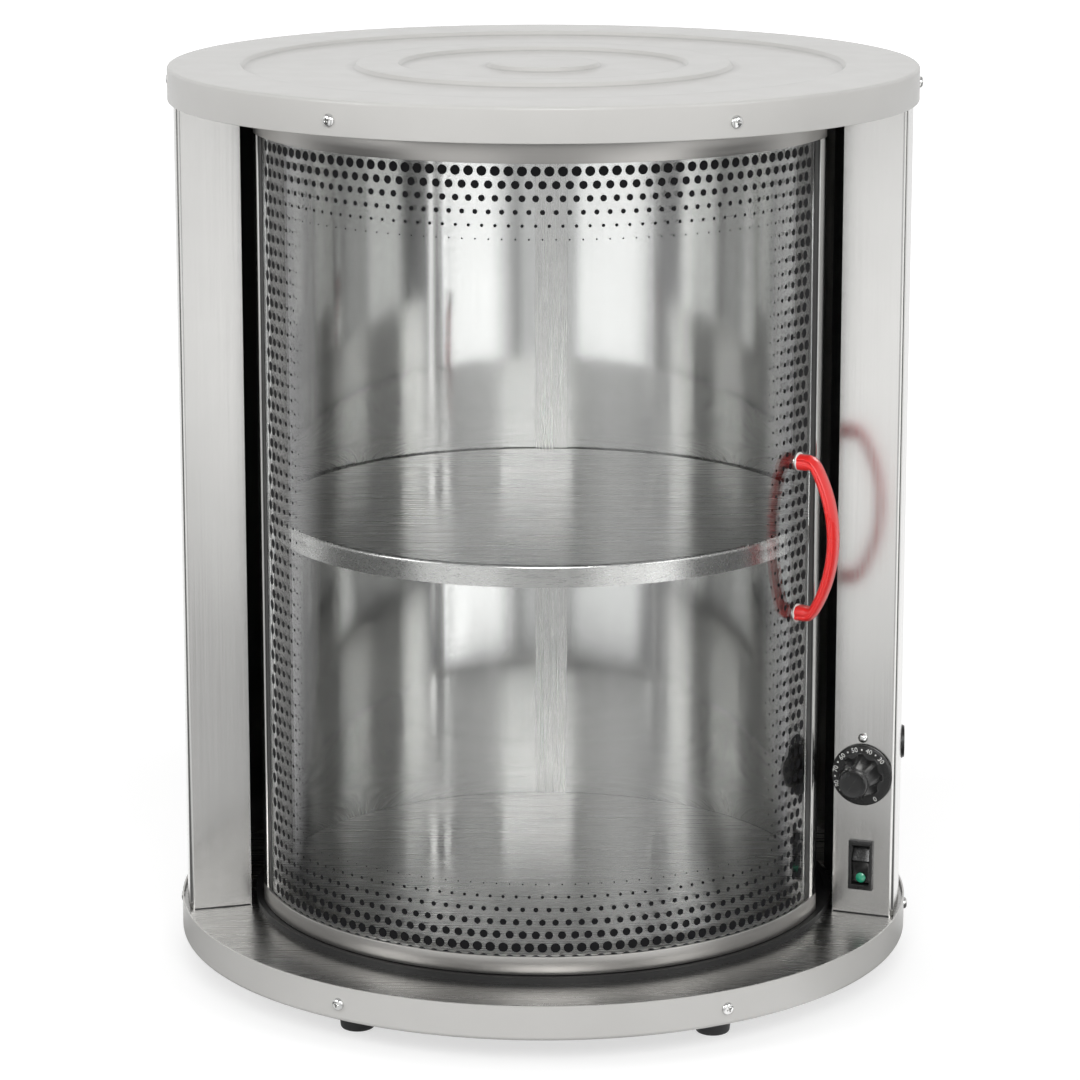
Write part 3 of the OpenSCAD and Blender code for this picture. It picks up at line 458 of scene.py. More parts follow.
# black plastic for glides, stops and strips; the same black is painted shade on the joint beads,
# and on the tracks it also stands for the shade of the gap at the door rails
black_plastic_and_shade = coated("plastic_black_and_painted_shade", (0.008, 0.008, 0.008), 0.5, 2000.0, 8e-6)
rubber = coated("rubber_black", (0.02, 0.02, 0.021), 0.62, 1500.0, 1.6e-5,
                edge=0.3, edge_colour=(0.09, 0.09, 0.09), spread=0.08)
red = coated("plastic_red_gloss", (0.8, 0.016, 0.014), 0.3, 1400.0, 3e-6,
             edge=0.1, edge_colour=(0.95, 0.2, 0.16), tint=0.04, coat=0.4)
washer_white = coated("plastic_pale_washer", (0.78, 0.78, 0.75), 0.4, 1800.0, 5e-6)
brown = coated("moulded_brown", (0.1, 0.065, 0.04), 0.4, 1500.0, 1e-5, edge=0.2,
               edge_colour=(0.22, 0.17, 0.12))
ceramic = coated("ceramic_white", (0.72, 0.7, 0.66), 0.38, 1300.0, 8e-6, tint=0.1)
ink_white = coated("ink_white", (0.82, 0.82, 0.8), 0.5, 2500.0, 3e-6)
ink_black = coated("ink_black", (0.008, 0.008, 0.009), 0.6, 2500.0, 3e-6, specular=0.1)
lens_green = coated("lens_green", (0.015, 0.36, 0.2), 0.18, 1600.0, 5e-6, coat=0.6, tint=0.25)
print("materials so far:", len(bpy.data.materials))

# %% [markdown]
# ## Clear pane
# The pane is clear acrylic. A Principled shader with full transmission bends and mirrors light as
# the real sheet does. Light paths that only ask whether a lamp is hidden pass straight through, so
# that the lamps reach the chamber without the noise of caustics.

# %% Clear acrylic
glass, tree, shader, out, coords = blank_material("acrylic_clear")
haze = placed(tree, patches, coords, Scale=7.0, Low=0.0, High=0.012)
tree.links.new(haze.outputs["Value"], shader.inputs["Roughness"])
tint = placed(tree, patches, coords, Scale=5.0, Low=0.0, High=1.0)
tree.links.new(mixed(tree, "MIX", tint.outputs["Value"], (0.965, 0.975, 0.975, 1.0),
                     (0.985, 0.99, 0.99, 1.0)), shader.inputs["Base Color"])
for label, value in (("Metallic", 0.0), ("Transmission Weight", 1.0), ("IOR", 1.49)):
    shader.inputs[label].default_value = value
clear = add(tree, "ShaderNodeBsdfTransparent", {"Color": (0.93, 0.94, 0.94, 1.0)})
shadow = tree.nodes.new("ShaderNodeLightPath").outputs["Is Shadow Ray"]
choose = add(tree, "ShaderNodeMixShader",
             {0: shadow, 1: shader.outputs["BSDF"], 2: clear.outputs["BSDF"]})
tree.links.new(choose.outputs["Shader"], out.inputs["Surface"])
print("clear pane:", len(tree.nodes), "nodes")

# %% [markdown]
# ## Stage, lamps and camera
# The floor is pale and nearly white to the camera, and it keeps the soft shadow. Upright metal
# seen from above mirrors the floor in front of it, so the floor also carries what a studio puts
# there: one pool of light on each side, a dimmer one in the middle, more behind, and a dark room
# between them. The pools are seen only by mirrored rays and by rays that leave the drum through
# the pane. They could be panels standing round the cabinet, but a pool in the floor's own material
# can't get in the way of another view. The lamps are large and plain.

# %% Floor
HALF_FLOOR = 14
CORNERS = ((-1, -1), (1, -1), (1, 1), (-1, 1))
floor_mesh = bpy.data.meshes.new("studio_floor")
floor_mesh.from_pydata([(x * HALF_FLOOR, y * HALF_FLOOR, 0) for x, y in CORNERS], [],
                       [range(4)])
linked("studio_floor", floor_mesh)
floor_mat = bpy.data.materials.new("studio_white")
floor_mat.use_nodes = True
tree = floor_mat.node_tree
tree.nodes.clear()
floor_mesh.materials.append(floor_mat)
print("floor is", 2 * HALF_FLOOR, "m wide")

# %% Light pools in the floor
where = tree.nodes.new("ShaderNodeTexCoord").outputs["Object"]
across_x, across_y, _ = add(tree, "ShaderNodeSeparateXYZ", {0: where}).outputs
distance = add(tree, "ShaderNodeVectorMath", {0: where}, operation="LENGTH").outputs["Value"]
# angle from the front in degrees, positive to the right
turn = calc(tree, "DEGREES", calc(tree, "ARCTAN2", across_x, times(tree, across_y, -1.0)))


def pool(start, end, soft, level=1.0):
    """A level between two angles and 0 outside them, with soft ends."""
    rise = ranged(tree, turn, start - soft, start + soft, 0.0, 1.0)
    fall = ranged(tree, turn, end - soft, end + soft, 1.0, 0.0)
    return times(tree, rise, fall, level)


# the level of a side pool changes with the distance, and the right-hand one with the angle too
right_hand = times(tree, pool(12, 57, 5, ranged(tree, distance, 0.5, 1.6, 1.1, 1.05)),
                   ranged(tree, turn, 16, 26, 0.4, 1.0), ranged(tree, turn, 38, 46, 1.0, 1.35))
left_hand = pool(-50, -11, 5, ranged(tree, distance, 0.5, 1.6, 0.7, 0.98))
middle = pool(-14, 14, 4, 0.5)
rear = calc(tree, "ADD", pool(-200, -98, 8), pool(98, 200, 8))
DARK_ROOM, THROUGH_PANE, POOL_GLOW = 0.12, 1.5, 0.75
light = DARK_ROOM
for more in (right_hand, left_hand, middle, rear):
    light = calc(tree, "MAXIMUM", more, light)
print("light pools in the floor: 5")

# %% Floor material
rays = tree.nodes.new("ShaderNodeLightPath").outputs
reflected = calc(tree, "MAXIMUM", rays["Is Glossy Ray"], rays["Is Transmission Ray"])
# to the camera the floor is a little greyer round the cabinet than further out
white = ranged(tree, distance, 0.45, 2.2, 0.62, 1.0)
level = calc(tree, "ADD", times(tree, rays["Is Camera Ray"], white),
             times(tree, reflected, light, POOL_GLOW))
boost = ranged(tree, rays["Is Transmission Ray"], 0.0, 1.0, 1.0, THROUGH_PANE)
unlit = calc(tree, "SUBTRACT", 1.0, light)
matt_level = calc(tree, "SUBTRACT", 1.0, times(tree, reflected, unlit))
matt = mixed(tree, "MULTIPLY", 1.0, (0.5, 0.5, 0.5, 1.0), matt_level)
diffuse = add(tree, "ShaderNodeBsdfDiffuse", {"Color": matt})
glow = add(tree, "ShaderNodeEmission", {"Strength": times(tree, level, boost)})
both = add(tree, "ShaderNodeAddShader", {0: diffuse.outputs[0], 1: glow.outputs[0]})
add(tree, "ShaderNodeOutputMaterial", {"Surface": both.outputs[0]})
print("floor material has", len(tree.nodes), "nodes")

# %% World
world = bpy.data.worlds.new("studio_air")
bpy.context.scene.world = world
world.use_nodes = True
tree = world.node_tree
tree.nodes.clear()
AMBIENT, SKY_SHADE = 0.42, 0.6
rays = tree.nodes.new("ShaderNodeLightPath").outputs
reflected = calc(tree, "MAXIMUM", rays["Is Glossy Ray"], rays["Is Transmission Ray"])
seen = calc(tree, "MAXIMUM", rays["Is Camera Ray"], reflected)
generated = tree.nodes.new("ShaderNodeTexCoord").outputs["Generated"]
height = add(tree, "ShaderNodeSeparateXYZ", {0: generated}).outputs["Z"]
# mirrored rays find a darker sky high up
shade = times(tree, ranged(tree, height, 0.36, 0.62, 0.0, 1.0), reflected, SKY_SHADE)
strength = times(tree, calc(tree, "SUBTRACT", 1.0, shade),
                 ranged(tree, seen, 0.0, 1.0, AMBIENT, 1.0))
background = add(tree, "ShaderNodeBackground", {
    "Strength": strength, "Color": (1.0, 1.0, 1.0, 1.0)})
add(tree, "ShaderNodeOutputWorld", {"Surface": background.outputs[0]})
print("world has", len(tree.nodes), "nodes")


# %% Lamps
def softbox(name, place, aim, width, height, power):
    data = bpy.data.lights.new(name, "AREA")
    data.shape, data.size, data.size_y, data.energy = "RECTANGLE", width, height, power
    lamp = linked(name, data)
    lamp.location = place
    lamp.rotation_euler = (Vector(aim) - Vector(place)).to_track_quat("-Z", "Y").to_euler()
    print(f"{name}: {power} W, {width} x {height} m")


CABINET = (0.0, 0.0, 0.3)
softbox("key_front", (0.25, -3.0, 2.0), CABINET, 1.8, 1.0, 54)
softbox("side_right", (2.5, -1.7, 1.5), CABINET, 1.2, 1.4, 20)
softbox("side_left", (-2.6, -1.5, 1.5), CABINET, 1.2, 1.4, 26)
softbox("overhead", (0.0, 0.4, 2.8), (0, 0, 0.4), 2.4, 2.4, 6)
softbox("rear_fill", (0.0, 2.4, 2.5), CABINET, 1.8, 1.0, 9)

# %% Camera
LOOK_UP, LOOK_LEFT = 78.199, 1.859
cam_data = bpy.data.cameras.new("camera")
cam_data.lens, cam_data.sensor_width, cam_data.shift_y = 130.48, 36.0, -0.09
cam_data.clip_start, cam_data.clip_end = 0.05, 60.0
camera = linked("camera", cam_data)
camera.location = (0.07399, -2.34261, 0.81023)
camera.rotation_euler = (math.radians(LOOK_UP), 0.0, math.radians(LOOK_LEFT))
bpy.context.scene.camera = camera
bpy.context.scene.view_settings.view_transform = "Standard"
print("camera looks down by", round(90 - LOOK_UP, 1), "degrees")

# %% [markdown]
# ## Lid
# The lid is one pressed sheet with three raised areas and a turned-down flange that ends in a hem.
# Its steps are soft, because a press can't fold a sharp corner. A flat disc with a bump texture
# would lose the steps at the skyline, so a section with smooth ramps is turned round the axis
# instead. That gives the even highlights of a pressing.

# %% Lid
STEP_H, STEP_RUN, SHEET = 2.5 * MM, 3.0 * MM, 1.0 * MM
# a guard ring beside each step keeps the painted shade of its corner from spreading over the flat
GUARD = 5.0 * MM
BOSS_R, RING_IN_R, RING_OUT_R, BORDER_R = [v * MM for v in (33.5, 86.0, 113.0, 180.0)]


def ramp(radius, start, end, steps=8):
    """A soft step in a section, from one height to the other, round a radius."""
    points = [(radius - STEP_RUN / 2 - GUARD, start)]
    for i in range(steps + 1):
        t = i / steps
        s = t * t * (3 - 2 * t)
        points.append((radius + STEP_RUN * (t - 0.5), start + (end - start) * s))
    return points + [(radius + STEP_RUN / 2 + GUARD, end)]


def lid_face(drop):
    """The lid's upper face lowered by the sheet, from the axis outwards."""
    up, down = lid_top - drop, lid_top - drop - STEP_H
    line = [(0.0, up)]
    for radius, start, end in ((BOSS_R, up, down), (RING_IN_R, down, up), (RING_OUT_R, up, down),
                               (BORDER_R, down, up)):
        line += ramp(radius, start, end)
    return line


EDGE_R, HEM_H, HEM_IN = 2.0 * MM, 2.5 * MM, 221.8 * MM
HEM_R = 0.6 * MM
outside = corner(lid_r - EDGE_R, lid_top - EDGE_R, EDGE_R, 90, 0, 10)
hem = corner(lid_r - HEM_R, lid_rim + HEM_R, HEM_R, 0, -90, 4) + [
    (HEM_IN, lid_rim), (HEM_IN, lid_rim + HEM_H), (lid_r - SHEET, lid_rim + HEM_H)]
inside = corner(lid_r - EDGE_R, lid_top - EDGE_R, EDGE_R - SHEET, 0, 90, 10)
lid_section = lid_face(0.0) + outside + hem + inside + lid_face(SHEET)[::-1]
piece("lid_pressing", turned(lid_section, 256), paint_lid_with_painted_shade, "cabinet", ["lid"], crease=50)

# %% [markdown]
# ## Door
# The pane is a curved sheet held by a channel on each of its four edges. Pane and channels follow
# the same circle, so each is one section turned between two angles, and the clearance between them
# is a named value. A printed border of black dots hides the glue line and the glides: the dots are
# largest at the edges and shrink inwards.

# %% Pane and its channels
pane_lo, pane_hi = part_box("door_glass")
PANE_IN, PANE_OUT, WALL, PLAY = [v * MM for v in (171.0, 174.0, 1.8, 0.1)]
DOOR_LEFT, DOOR_RIGHT = -76.3, 73.3
degrees_per_m = 180 / math.pi / ((PANE_IN + PANE_OUT) / 2)
pane_left = DOOR_LEFT + (WALL + PLAY) * degrees_per_m
pane_right = DOOR_RIGHT - (WALL + PLAY) * degrees_per_m
pane_section = [(PANE_IN, pane_lo.z), (PANE_OUT, pane_lo.z),
                (PANE_OUT, pane_hi.z), (PANE_IN, pane_hi.z)]
piece("door_pane", turned_arc(pane_section, pane_left, pane_right, 160), glass, "door",
      ["door_glass"])


def channel(name, node, opens_up):
    """A channel bent to the pane's curve, open towards the pane."""
    z0, z1 = low(node), high(node)
    r0, r1 = PANE_IN - PLAY - WALL, PANE_OUT + PLAY + WALL
    if opens_up:
        section = [(r0, z0), (r1, z0), (r1, z1), (r1 - WALL, z1), (r1 - WALL, z0 + WALL),
                   (r0 + WALL, z0 + WALL), (r0 + WALL, z1), (r0, z1)]
    else:
        section = [(r0, z1), (r0, z0), (r0 + WALL, z0), (r0 + WALL, z1 - WALL),
                   (r1 - WALL, z1 - WALL), (r1 - WALL, z0), (r1, z0), (r1, z1)]
    piece(name, turned_arc(section, DOOR_LEFT, DOOR_RIGHT, 160), steel_rail_shaded, "door",
          [node], edge=0.35 * MM)


channel("bottom_channel", "door_bottom_rail", True)
channel("top_channel", "door_top_rail", False)

# %% [markdown]
# The dots are one Geometry Nodes tree. A grid of points covers the unrolled pane, every second row
# is moved by half a pitch, and the distance to the nearest edge sets each dot's size. The points
# are then bent round the pane, and each gets a thin disc. Dots that would be too small are left
# out. An image of dots would be quicker, but these stay crisp however close the camera comes.


# %% Geometry Nodes helpers
def geometry_tree(name, inputs):
    """An empty geometry tree with named inputs (name, socket type, default)."""
    return node_tree(name, "GeometryNodeTree", inputs, [("Geometry", "NodeSocketGeometry")])


def closed_off(tree, geometry, material, out):
    """Every tree ends the same way: instances made real, then a material."""
    real = add(tree, "GeometryNodeRealizeInstances", {0: geometry})
    painted = add(tree, "GeometryNodeSetMaterial", {
        "Geometry": real.outputs[0], "Material": material})
    tree.links.new(painted.outputs[0], out["Geometry"])
    print(f"{tree.name} has {len(tree.nodes)} nodes")


def combined(tree, x=0.0, y=0.0, z=0.0):
    return add(tree, "ShaderNodeCombineXYZ", {"X": x, "Y": y, "Z": z}).outputs[0]


def split(tree, vector):
    return add(tree, "ShaderNodeSeparateXYZ", {0: vector}).outputs


def round_the_axis(tree, angle, radius, height):
    """The place at an angle from the front, as polar() gives it for meshes."""
    return combined(tree, times(tree, calc(tree, "SINE", angle), radius),
                    times(tree, calc(tree, "COSINE", angle), radius, -1.0), height)


def stamped(tree, points, instance, **sockets):
    """The instance on every point, turned or scaled by the named sockets."""
    return add(tree, "GeometryNodeInstanceOnPoints",
               {"Points": points, "Instance": instance, **sockets}).outputs[0]


def grown(name, tree, values, material, body, stands_for=(), place=None, crease=35):
    """Runs a geometry tree on an empty mesh and keeps the result as a plain piece."""
    obj = linked(name, bpy.data.meshes.new(name))
    modifier = obj.modifiers.new(name, "NODES")
    modifier.node_group = tree
    for item in tree.interface.items_tree:
        if item.item_type == "SOCKET" and item.in_out == "INPUT" and item.name in values:
            modifier[item.identifier] = values[item.name]
    dg = bpy.context.evaluated_depsgraph_get()
    made = bpy.data.meshes.new_from_object(obj.evaluated_get(dg))
    obj.modifiers.remove(modifier)
    obj.data = made
    made.name = name
    if place is not None:
        made.transform(place)
    smooth_by_angle(made, crease)
    return hang(obj, material, body, stands_for)


MATERIAL = "NodeSocketMaterial"
print("geometry helpers are ready")

# %% Tree of printed dots: the unrolled grid
dots, d_in, d_out = geometry_tree("printed_dots", [
    ("Width", FLOAT, 0.44), ("Low", FLOAT, 0.04), ("High", FLOAT, 0.52), ("Pitch", FLOAT, 0.00765),
    ("Radius", FLOAT, 0.171), ("Middle", FLOAT, 0.0), ("Largest", FLOAT, 0.0066),
    ("Shrink", FLOAT, 0.00095), ("Sides", INTEGER, 20), ("Ink", MATERIAL, None)])
columns = calc(dots, "FLOOR", calc(dots, "DIVIDE", d_in["Width"], d_in["Pitch"]))
tall = calc(dots, "SUBTRACT", d_in["High"], d_in["Low"])
rows = calc(dots, "FLOOR", calc(dots, "DIVIDE", tall, d_in["Pitch"]))
grid = add(dots, "GeometryNodeMeshGrid", {
    "Size X": times(dots, calc(dots, "SUBTRACT", columns, 1.0), d_in["Pitch"]), "Size Y": tall,
    "Vertices X": columns, "Vertices Y": calc(dots, "ADD", rows, 1.0)})
spot = split(dots, dots.nodes.new("GeometryNodeInputPosition").outputs[0])
gap = calc(dots, "DIVIDE", tall, rows)
from_low = calc(dots, "ADD", spot["Y"], times(dots, tall, 0.5))
row = calc(dots, "ROUND", calc(dots, "DIVIDE", from_low, gap))
side_step = calc(dots, "SUBTRACT", calc(dots, "MODULO", row, 2.0), 0.5)
across = calc(dots, "ADD", spot["X"], times(dots, side_step, d_in["Pitch"], 0.5))
print("the grid's odd rows are moved by half a pitch")

# %% Tree of printed dots: size and place of each dot
SMALLEST = 0.7 * MM
side_gap = calc(dots, "SUBTRACT", times(dots, d_in["Width"], 0.5), calc(dots, "ABSOLUTE", across))
end_gap = calc(dots, "SUBTRACT", times(dots, tall, 0.5), calc(dots, "ABSOLUTE", spot["Y"]))
steps_in = calc(dots, "DIVIDE", calc(dots, "MINIMUM", side_gap, end_gap), gap)
size = calc(dots, "SUBTRACT", d_in["Largest"], times(dots, steps_in, d_in["Shrink"]))
bend = calc(dots, "ADD", calc(dots, "DIVIDE", across, d_in["Radius"]), d_in["Middle"])
middle_z = times(dots, calc(dots, "ADD", d_in["High"], d_in["Low"]), 0.5)
bent = round_the_axis(dots, bend, d_in["Radius"], calc(dots, "ADD", spot["Y"], middle_z))
keep = add(dots, "FunctionNodeCompare", {"A": size, "B": SMALLEST},
           data_type="FLOAT", operation="GREATER_THAN")
cloud = add(dots, "GeometryNodeMeshToPoints", {
    "Mesh": grid.outputs["Mesh"], "Selection": keep.outputs[0], "Position": bent,
    "Radius": times(dots, size, 0.5)})
disc = add(dots, "GeometryNodeMeshCircle", {"Radius": 1.0, "Vertices": d_in["Sides"]},
           fill_type="NGON")
# on the bent points, the place alone tells which way a dot faces
here = split(dots, dots.nodes.new("GeometryNodeInputPosition").outputs[0])
angle = calc(dots, "ARCTAN2", here["X"], times(dots, here["Y"], -1.0))
facing = add(dots, "FunctionNodeEulerToRotation", {0: combined(dots, math.pi / 2, 0.0, angle)})
scale = dots.nodes.new("GeometryNodeInputRadius").outputs[0]
closed_off(dots, stamped(dots, cloud.outputs["Points"], disc.outputs["Mesh"],
                         Rotation=facing.outputs[0], Scale=scale), d_in["Ink"], d_out)

# %% [markdown]
# Each upright channel has a thin black strip beside it, a short arc on the pane's outer face. The
# printed border starts at the strips, so the largest dots of its sides stand next to them.

# %% Black strips along the upright channels
UPRIGHT_W, STRIP_W, STRIP_T = 12.05 * MM, 6.0 * MM, 0.4 * MM
strip_lo, strip_hi = low("door_left_upright"), high("door_left_upright")
strip_section = [(PANE_OUT, strip_lo), (PANE_OUT + STRIP_T, strip_lo),
                (PANE_OUT + STRIP_T, strip_hi), (PANE_OUT, strip_hi)]
for side, edge_a, sense in (("left", DOOR_LEFT, 1), ("right", DOOR_RIGHT, -1)):
    from_a = edge_a + sense * UPRIGHT_W * degrees_per_m
    to_a = from_a + sense * STRIP_W * degrees_per_m
    piece(f"{side}_pane_seal", turned_arc(strip_section, min(from_a, to_a), max(from_a, to_a), 8),
          black_plastic_and_shade, "door")

# %% Print the dots
INK_LIFT, BORDER_IN, STRIP_GAP = 0.05 * MM, 8.4 * MM, 3.6 * MM
ink_r = PANE_OUT + INK_LIFT
half_hidden = UPRIGHT_W + STRIP_W + STRIP_GAP
grown("pane_dots", dots, {
    "Width": math.radians(DOOR_RIGHT - DOOR_LEFT) * ink_r - 2 * half_hidden,
    "Low": low("door_bottom_rail") + BORDER_IN, "High": high("door_top_rail") - BORDER_IN,
    "Pitch": 7.65 * MM, "Radius": ink_r, "Middle": math.radians((DOOR_LEFT + DOOR_RIGHT) / 2),
    "Largest": 6.7 * MM, "Shrink": 0.95 * MM, "Sides": 18, "Ink": ink_black,
}, ink_black, "door")

for side, node in (("left", "door_left_upright"), ("right", "door_right_upright")):
    softened(node, 0.3 * MM, steel_upright, "door")

# %% [markdown]
# ## Handle
# The red handle is a moulded bow. A bevelled curve could make it, but its section couldn't change
# on the way. So one section is carried along a path: straight out of the upper foot, round a bend,
# along the bow's arc and back to the lower foot. At each point the section stands square to the
# path, so the bow keeps its width while it bends, and it grows thicker towards the feet. The
# section has a crowned outer face and a shallow groove in each flank, which catches a dark line.

# %% Path of the handle
handle_lo, handle_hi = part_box("handle")
HANDLE_A, FOOT_X, HANDLE_TOP = 61.6, 175.02 * MM, 200.5 * MM
HANDLE_Z = (handle_lo.z + handle_hi.z) / 2
PITCH, BOW_T, FOOT_H, BEND_R, BEND_A = 92 * MM, 5.6 * MM, 9 * MM, 7 * MM, math.radians(60)
BOW_R = (PITCH / 2 - BEND_R * (1 - math.cos(BEND_A))) / math.cos(BEND_A)
BOW_X = HANDLE_TOP - BOW_T / 2 - BOW_R
LEG_X = BOW_X + (BOW_R - BEND_R) * math.sin(BEND_A)


def upper_half(bend_steps, bow_steps):
    """Stations (x, z, heading, growth) from the upper foot to the middle of the bow."""
    foot = [(FOOT_X + (LEG_X - FOOT_X) * k / 3, PITCH / 2, 0.0, 1.0) for k in range(3)]
    bend = []
    for i in range(bend_steps):
        t = i / bend_steps
        h = BEND_A * t
        bend.append((LEG_X + BEND_R * math.sin(h), PITCH / 2 - BEND_R * (1 - math.cos(h)), h,
                     1 - t * t * (3 - 2 * t)))
    bow = []
    for i in range(bow_steps):
        h = BEND_A + (math.pi / 2 - BEND_A) * i / bow_steps
        bow.append((BOW_X + BOW_R * math.sin(h), BOW_R * math.cos(h), h, 0.0))
    return foot + bend + bow


upper = upper_half(14, 24)
middle = [(BOW_X + BOW_R, 0.0, math.pi / 2, 0.0)]
stations = upper + middle + [(x, -z, math.pi - h, g) for x, z, h, g in reversed(upper)]
print("handle path has", len(stations), "stations")

# %% Handle
flank = [(-2.8, 0.0), (-2.8, 3.1), (-2.6, 3.75), (-2.1, 4.5), (-1.4, 5.15), (-0.8, 5.45),
         (-0.35, 5.45), (-0.1, 5.2), (0.1, 4.9), (0.8, 4.8), (1.0, 4.95), (1.12, 5.25), (1.3, 5.35),
         (1.55, 5.2), (1.85, 4.6), (2.25, 3.4), (2.6, 1.8), (2.78, 0.0)]
outline = flank + [(n, -y) for n, y in flank[-2:0:-1]]


def handle_ring(station):
    """The section at one station, square to the path; n points away from the palm's side."""
    x, z, heading, growth = station
    scale = 1 + growth * (FOOT_H / BOW_T - 1)
    return [(x + n * MM * scale * math.sin(heading), y * MM, z + n * MM * scale * math.cos(heading))
            for n, y in outline]


to_handle = (Matrix.Translation((0, 0, HANDLE_Z))
             @ Matrix.Rotation(math.radians(HANDLE_A - 90), 4, "Z"))
piece("handle_bow", lofted([handle_ring(s) for s in stations]), red, "door",
      ["handle"], place=to_handle, crease=40)

# %% Washers under the handle's feet
HOLE_R, RING_R, RING_T, ROUND_R, RING_LIFT = [v * MM for v in (2.05, 5.5, 1.0, 0.3, 0.02)]
ring_section = ([(HOLE_R, RING_LIFT)]
                + corner(RING_R - ROUND_R, RING_LIFT + ROUND_R, ROUND_R, -90, 0, 4)
                + corner(RING_R - ROUND_R, RING_T - ROUND_R, ROUND_R, 0, 90, 4)
                + [(HOLE_R, RING_T)])


def on_round(angle, radius, height):
    """A matrix whose Z axis points straight out of the round wall, and whose Y axis is up."""
    a = math.radians(angle)
    out = Vector((math.sin(a), -math.cos(a), 0))
    right = Vector((math.cos(a), math.sin(a), 0))
    frame_here = Matrix((right, (0, 0, 1), out)).transposed().to_4x4()
    return Matrix.Translation(Vector(polar(angle, radius, height))) @ frame_here


def joined(shapes):
    """One shape from several, each (verts, faces) with its matrix."""
    verts, faces = [], []
    for (more, polygons), place in shapes:
        start = len(verts)
        verts += [tuple(place @ Vector(p)) for p in more]
        faces += [[start + k for k in f] for f in polygons]
    return verts, faces


washers = [(turned(ring_section, 48), on_round(HANDLE_A, PANE_OUT, HANDLE_Z + side * PITCH / 2))
           for side in (-1, 1)]
piece("pale_washers", joined(washers), washer_white, "door", ["handle_washers"])

# %% [markdown]
# ## Screws
# All twelve flange screws are the same cross-head screw. The head is turned from a section, and
# its cross is cut with a Boolean from two tapered bars. Copies could be placed one by one, but a
# ring of screws is a rule: a count, a radius, a height and a first angle. So a geometry tree sets
# them round the cabinet.

# %% One cross-head screw
def screw_shape(head_r, head_h, shank_r, length):
    """Section of a pan head with a soft edge, on its shank, along -Z."""
    rim = 0.34 * head_h
    dome = [(0.0, head_h), (head_r * 0.35, head_h * 0.985), (head_r * 0.6, head_h * 0.92),
            (head_r * 0.8, head_h * 0.78), (head_r * 0.93, head_h * 0.58),
            (head_r * 0.985, rim * 1.15), (head_r, rim), (head_r, 0.12 * MM),
            (head_r - 0.12 * MM, 0.0)]
    return dome + [(shank_r, 0.0), (shank_r, -length), (0.0, -length)]


def screw_mesh(name, head_r, head_h, shank_r, length, steps=40):
    """A screw mesh with its cross recess cut in."""
    head = turned(screw_shape(head_r, head_h, shank_r, length), steps)
    w, deep, arm = head_r * 0.13, head_h * 0.42, head_r * 0.56
    top = [(x * arm, y * w, head_h * 1.2) for x, y in CORNERS]
    bottom = [(x * 0.45, y * 0.7, deep) for x, y, _ in top]
    cross = [joined([(lofted([bottom, top]), Matrix.Rotation(math.radians(a), 4, "Z"))])
             for a in (0, 90)]
    meshes = [linked(name, solid_mesh(name, shape)) for shape in (head, *cross)]
    for cutter in meshes[1:]:
        cut = meshes[0].modifiers.new("cut", "BOOLEAN")
        cut.operation, cut.solver, cut.object = "DIFFERENCE", "EXACT", cutter
    dg = bpy.context.evaluated_depsgraph_get()
    result = bpy.data.meshes.new_from_object(meshes[0].evaluated_get(dg))
    for obj in meshes:
        bpy.data.objects.remove(obj)
    smooth_by_angle(result, 30)
    print(f"{name}: {len(result.polygons)} faces")
    return result


flange_screw = screw_mesh("flange_screw", head_r=3.65 * MM, head_h=2.45 * MM, shank_r=1.7 * MM,
                          length=9 * MM)

# %% Tree for a ring of screws
ringed, r_in, r_out = geometry_tree("ring_of_screws", [
    ("Screw", "NodeSocketObject", None), ("Count", INTEGER, 6), ("Radius", FLOAT, 0.225),
    ("Height", FLOAT, 0.5), ("First angle", FLOAT, 0.0), ("Seed", INTEGER, 3),
    ("Metal", MATERIAL, None)])
index = ringed.nodes.new("GeometryNodeInputIndex").outputs[0]
step = calc(ringed, "DIVIDE", 2 * math.pi, r_in["Count"])
around = calc(ringed, "ADD", times(ringed, index, step), r_in["First angle"])
set_round = round_the_axis(ringed, around, r_in["Radius"], r_in["Height"])
places = add(ringed, "GeometryNodePoints", {"Count": r_in["Count"], "Position": set_round})
# first each screw is turned by chance in its own plane, then it is stood out of the wall
thrown = add(ringed, "FunctionNodeRandomValue", {2: 0.0, 3: math.pi / 2, "Seed": r_in["Seed"]},
             data_type="FLOAT")
own, stood = [
    add(ringed, "FunctionNodeEulerToRotation", {0: combined(ringed, x, 0.0, z)}).outputs[0]
    for x, z in ((0.0, thrown.outputs[1]), (math.pi / 2, around))]
both = add(ringed, "FunctionNodeRotateRotation", {0: stood, 1: own}, rotation_space="LOCAL")
source = add(ringed, "GeometryNodeObjectInfo", {"Object": r_in["Screw"]})
closed_off(ringed, stamped(ringed, places.outputs[0], source.outputs["Geometry"],
                           Rotation=both.outputs[0]), r_in["Metal"], r_out)

# %% Set the flange screws
HEAD_GAP, FIRST_SCREW = 0.03 * MM, math.radians(30)
pattern = linked("screw_pattern", flange_screw)
for node, seed in (("lid_screws", 3), ("tray_screws", 8)):
    grown(node[:-1] + "_ring", ringed, {
        "Screw": pattern, "Count": 6, "Radius": lid_r + HEAD_GAP,
        "Height": (low(node) + high(node)) / 2, "First angle": FIRST_SCREW, "Seed": seed,
        "Metal": steel_screw,
    }, steel_screw, "cabinet", [node], crease=30)
bpy.data.objects.remove(pattern)

# %% [markdown]
# ## Thermostat knob
# The knob has a flat skirt with printed numbers, a tapered grip and a round cap. Skirt and cap are
# turned. Eight cylinders could cut the finger hollows out of the grip, but a Boolean leaves ragged
# edges that shade badly. So the grip is lofted from rings that have the hollows in them, each a
# part of a cylinder that leans with the grip's side. The knob's own joint says where its axis is,
# so the knob is built on that axis.

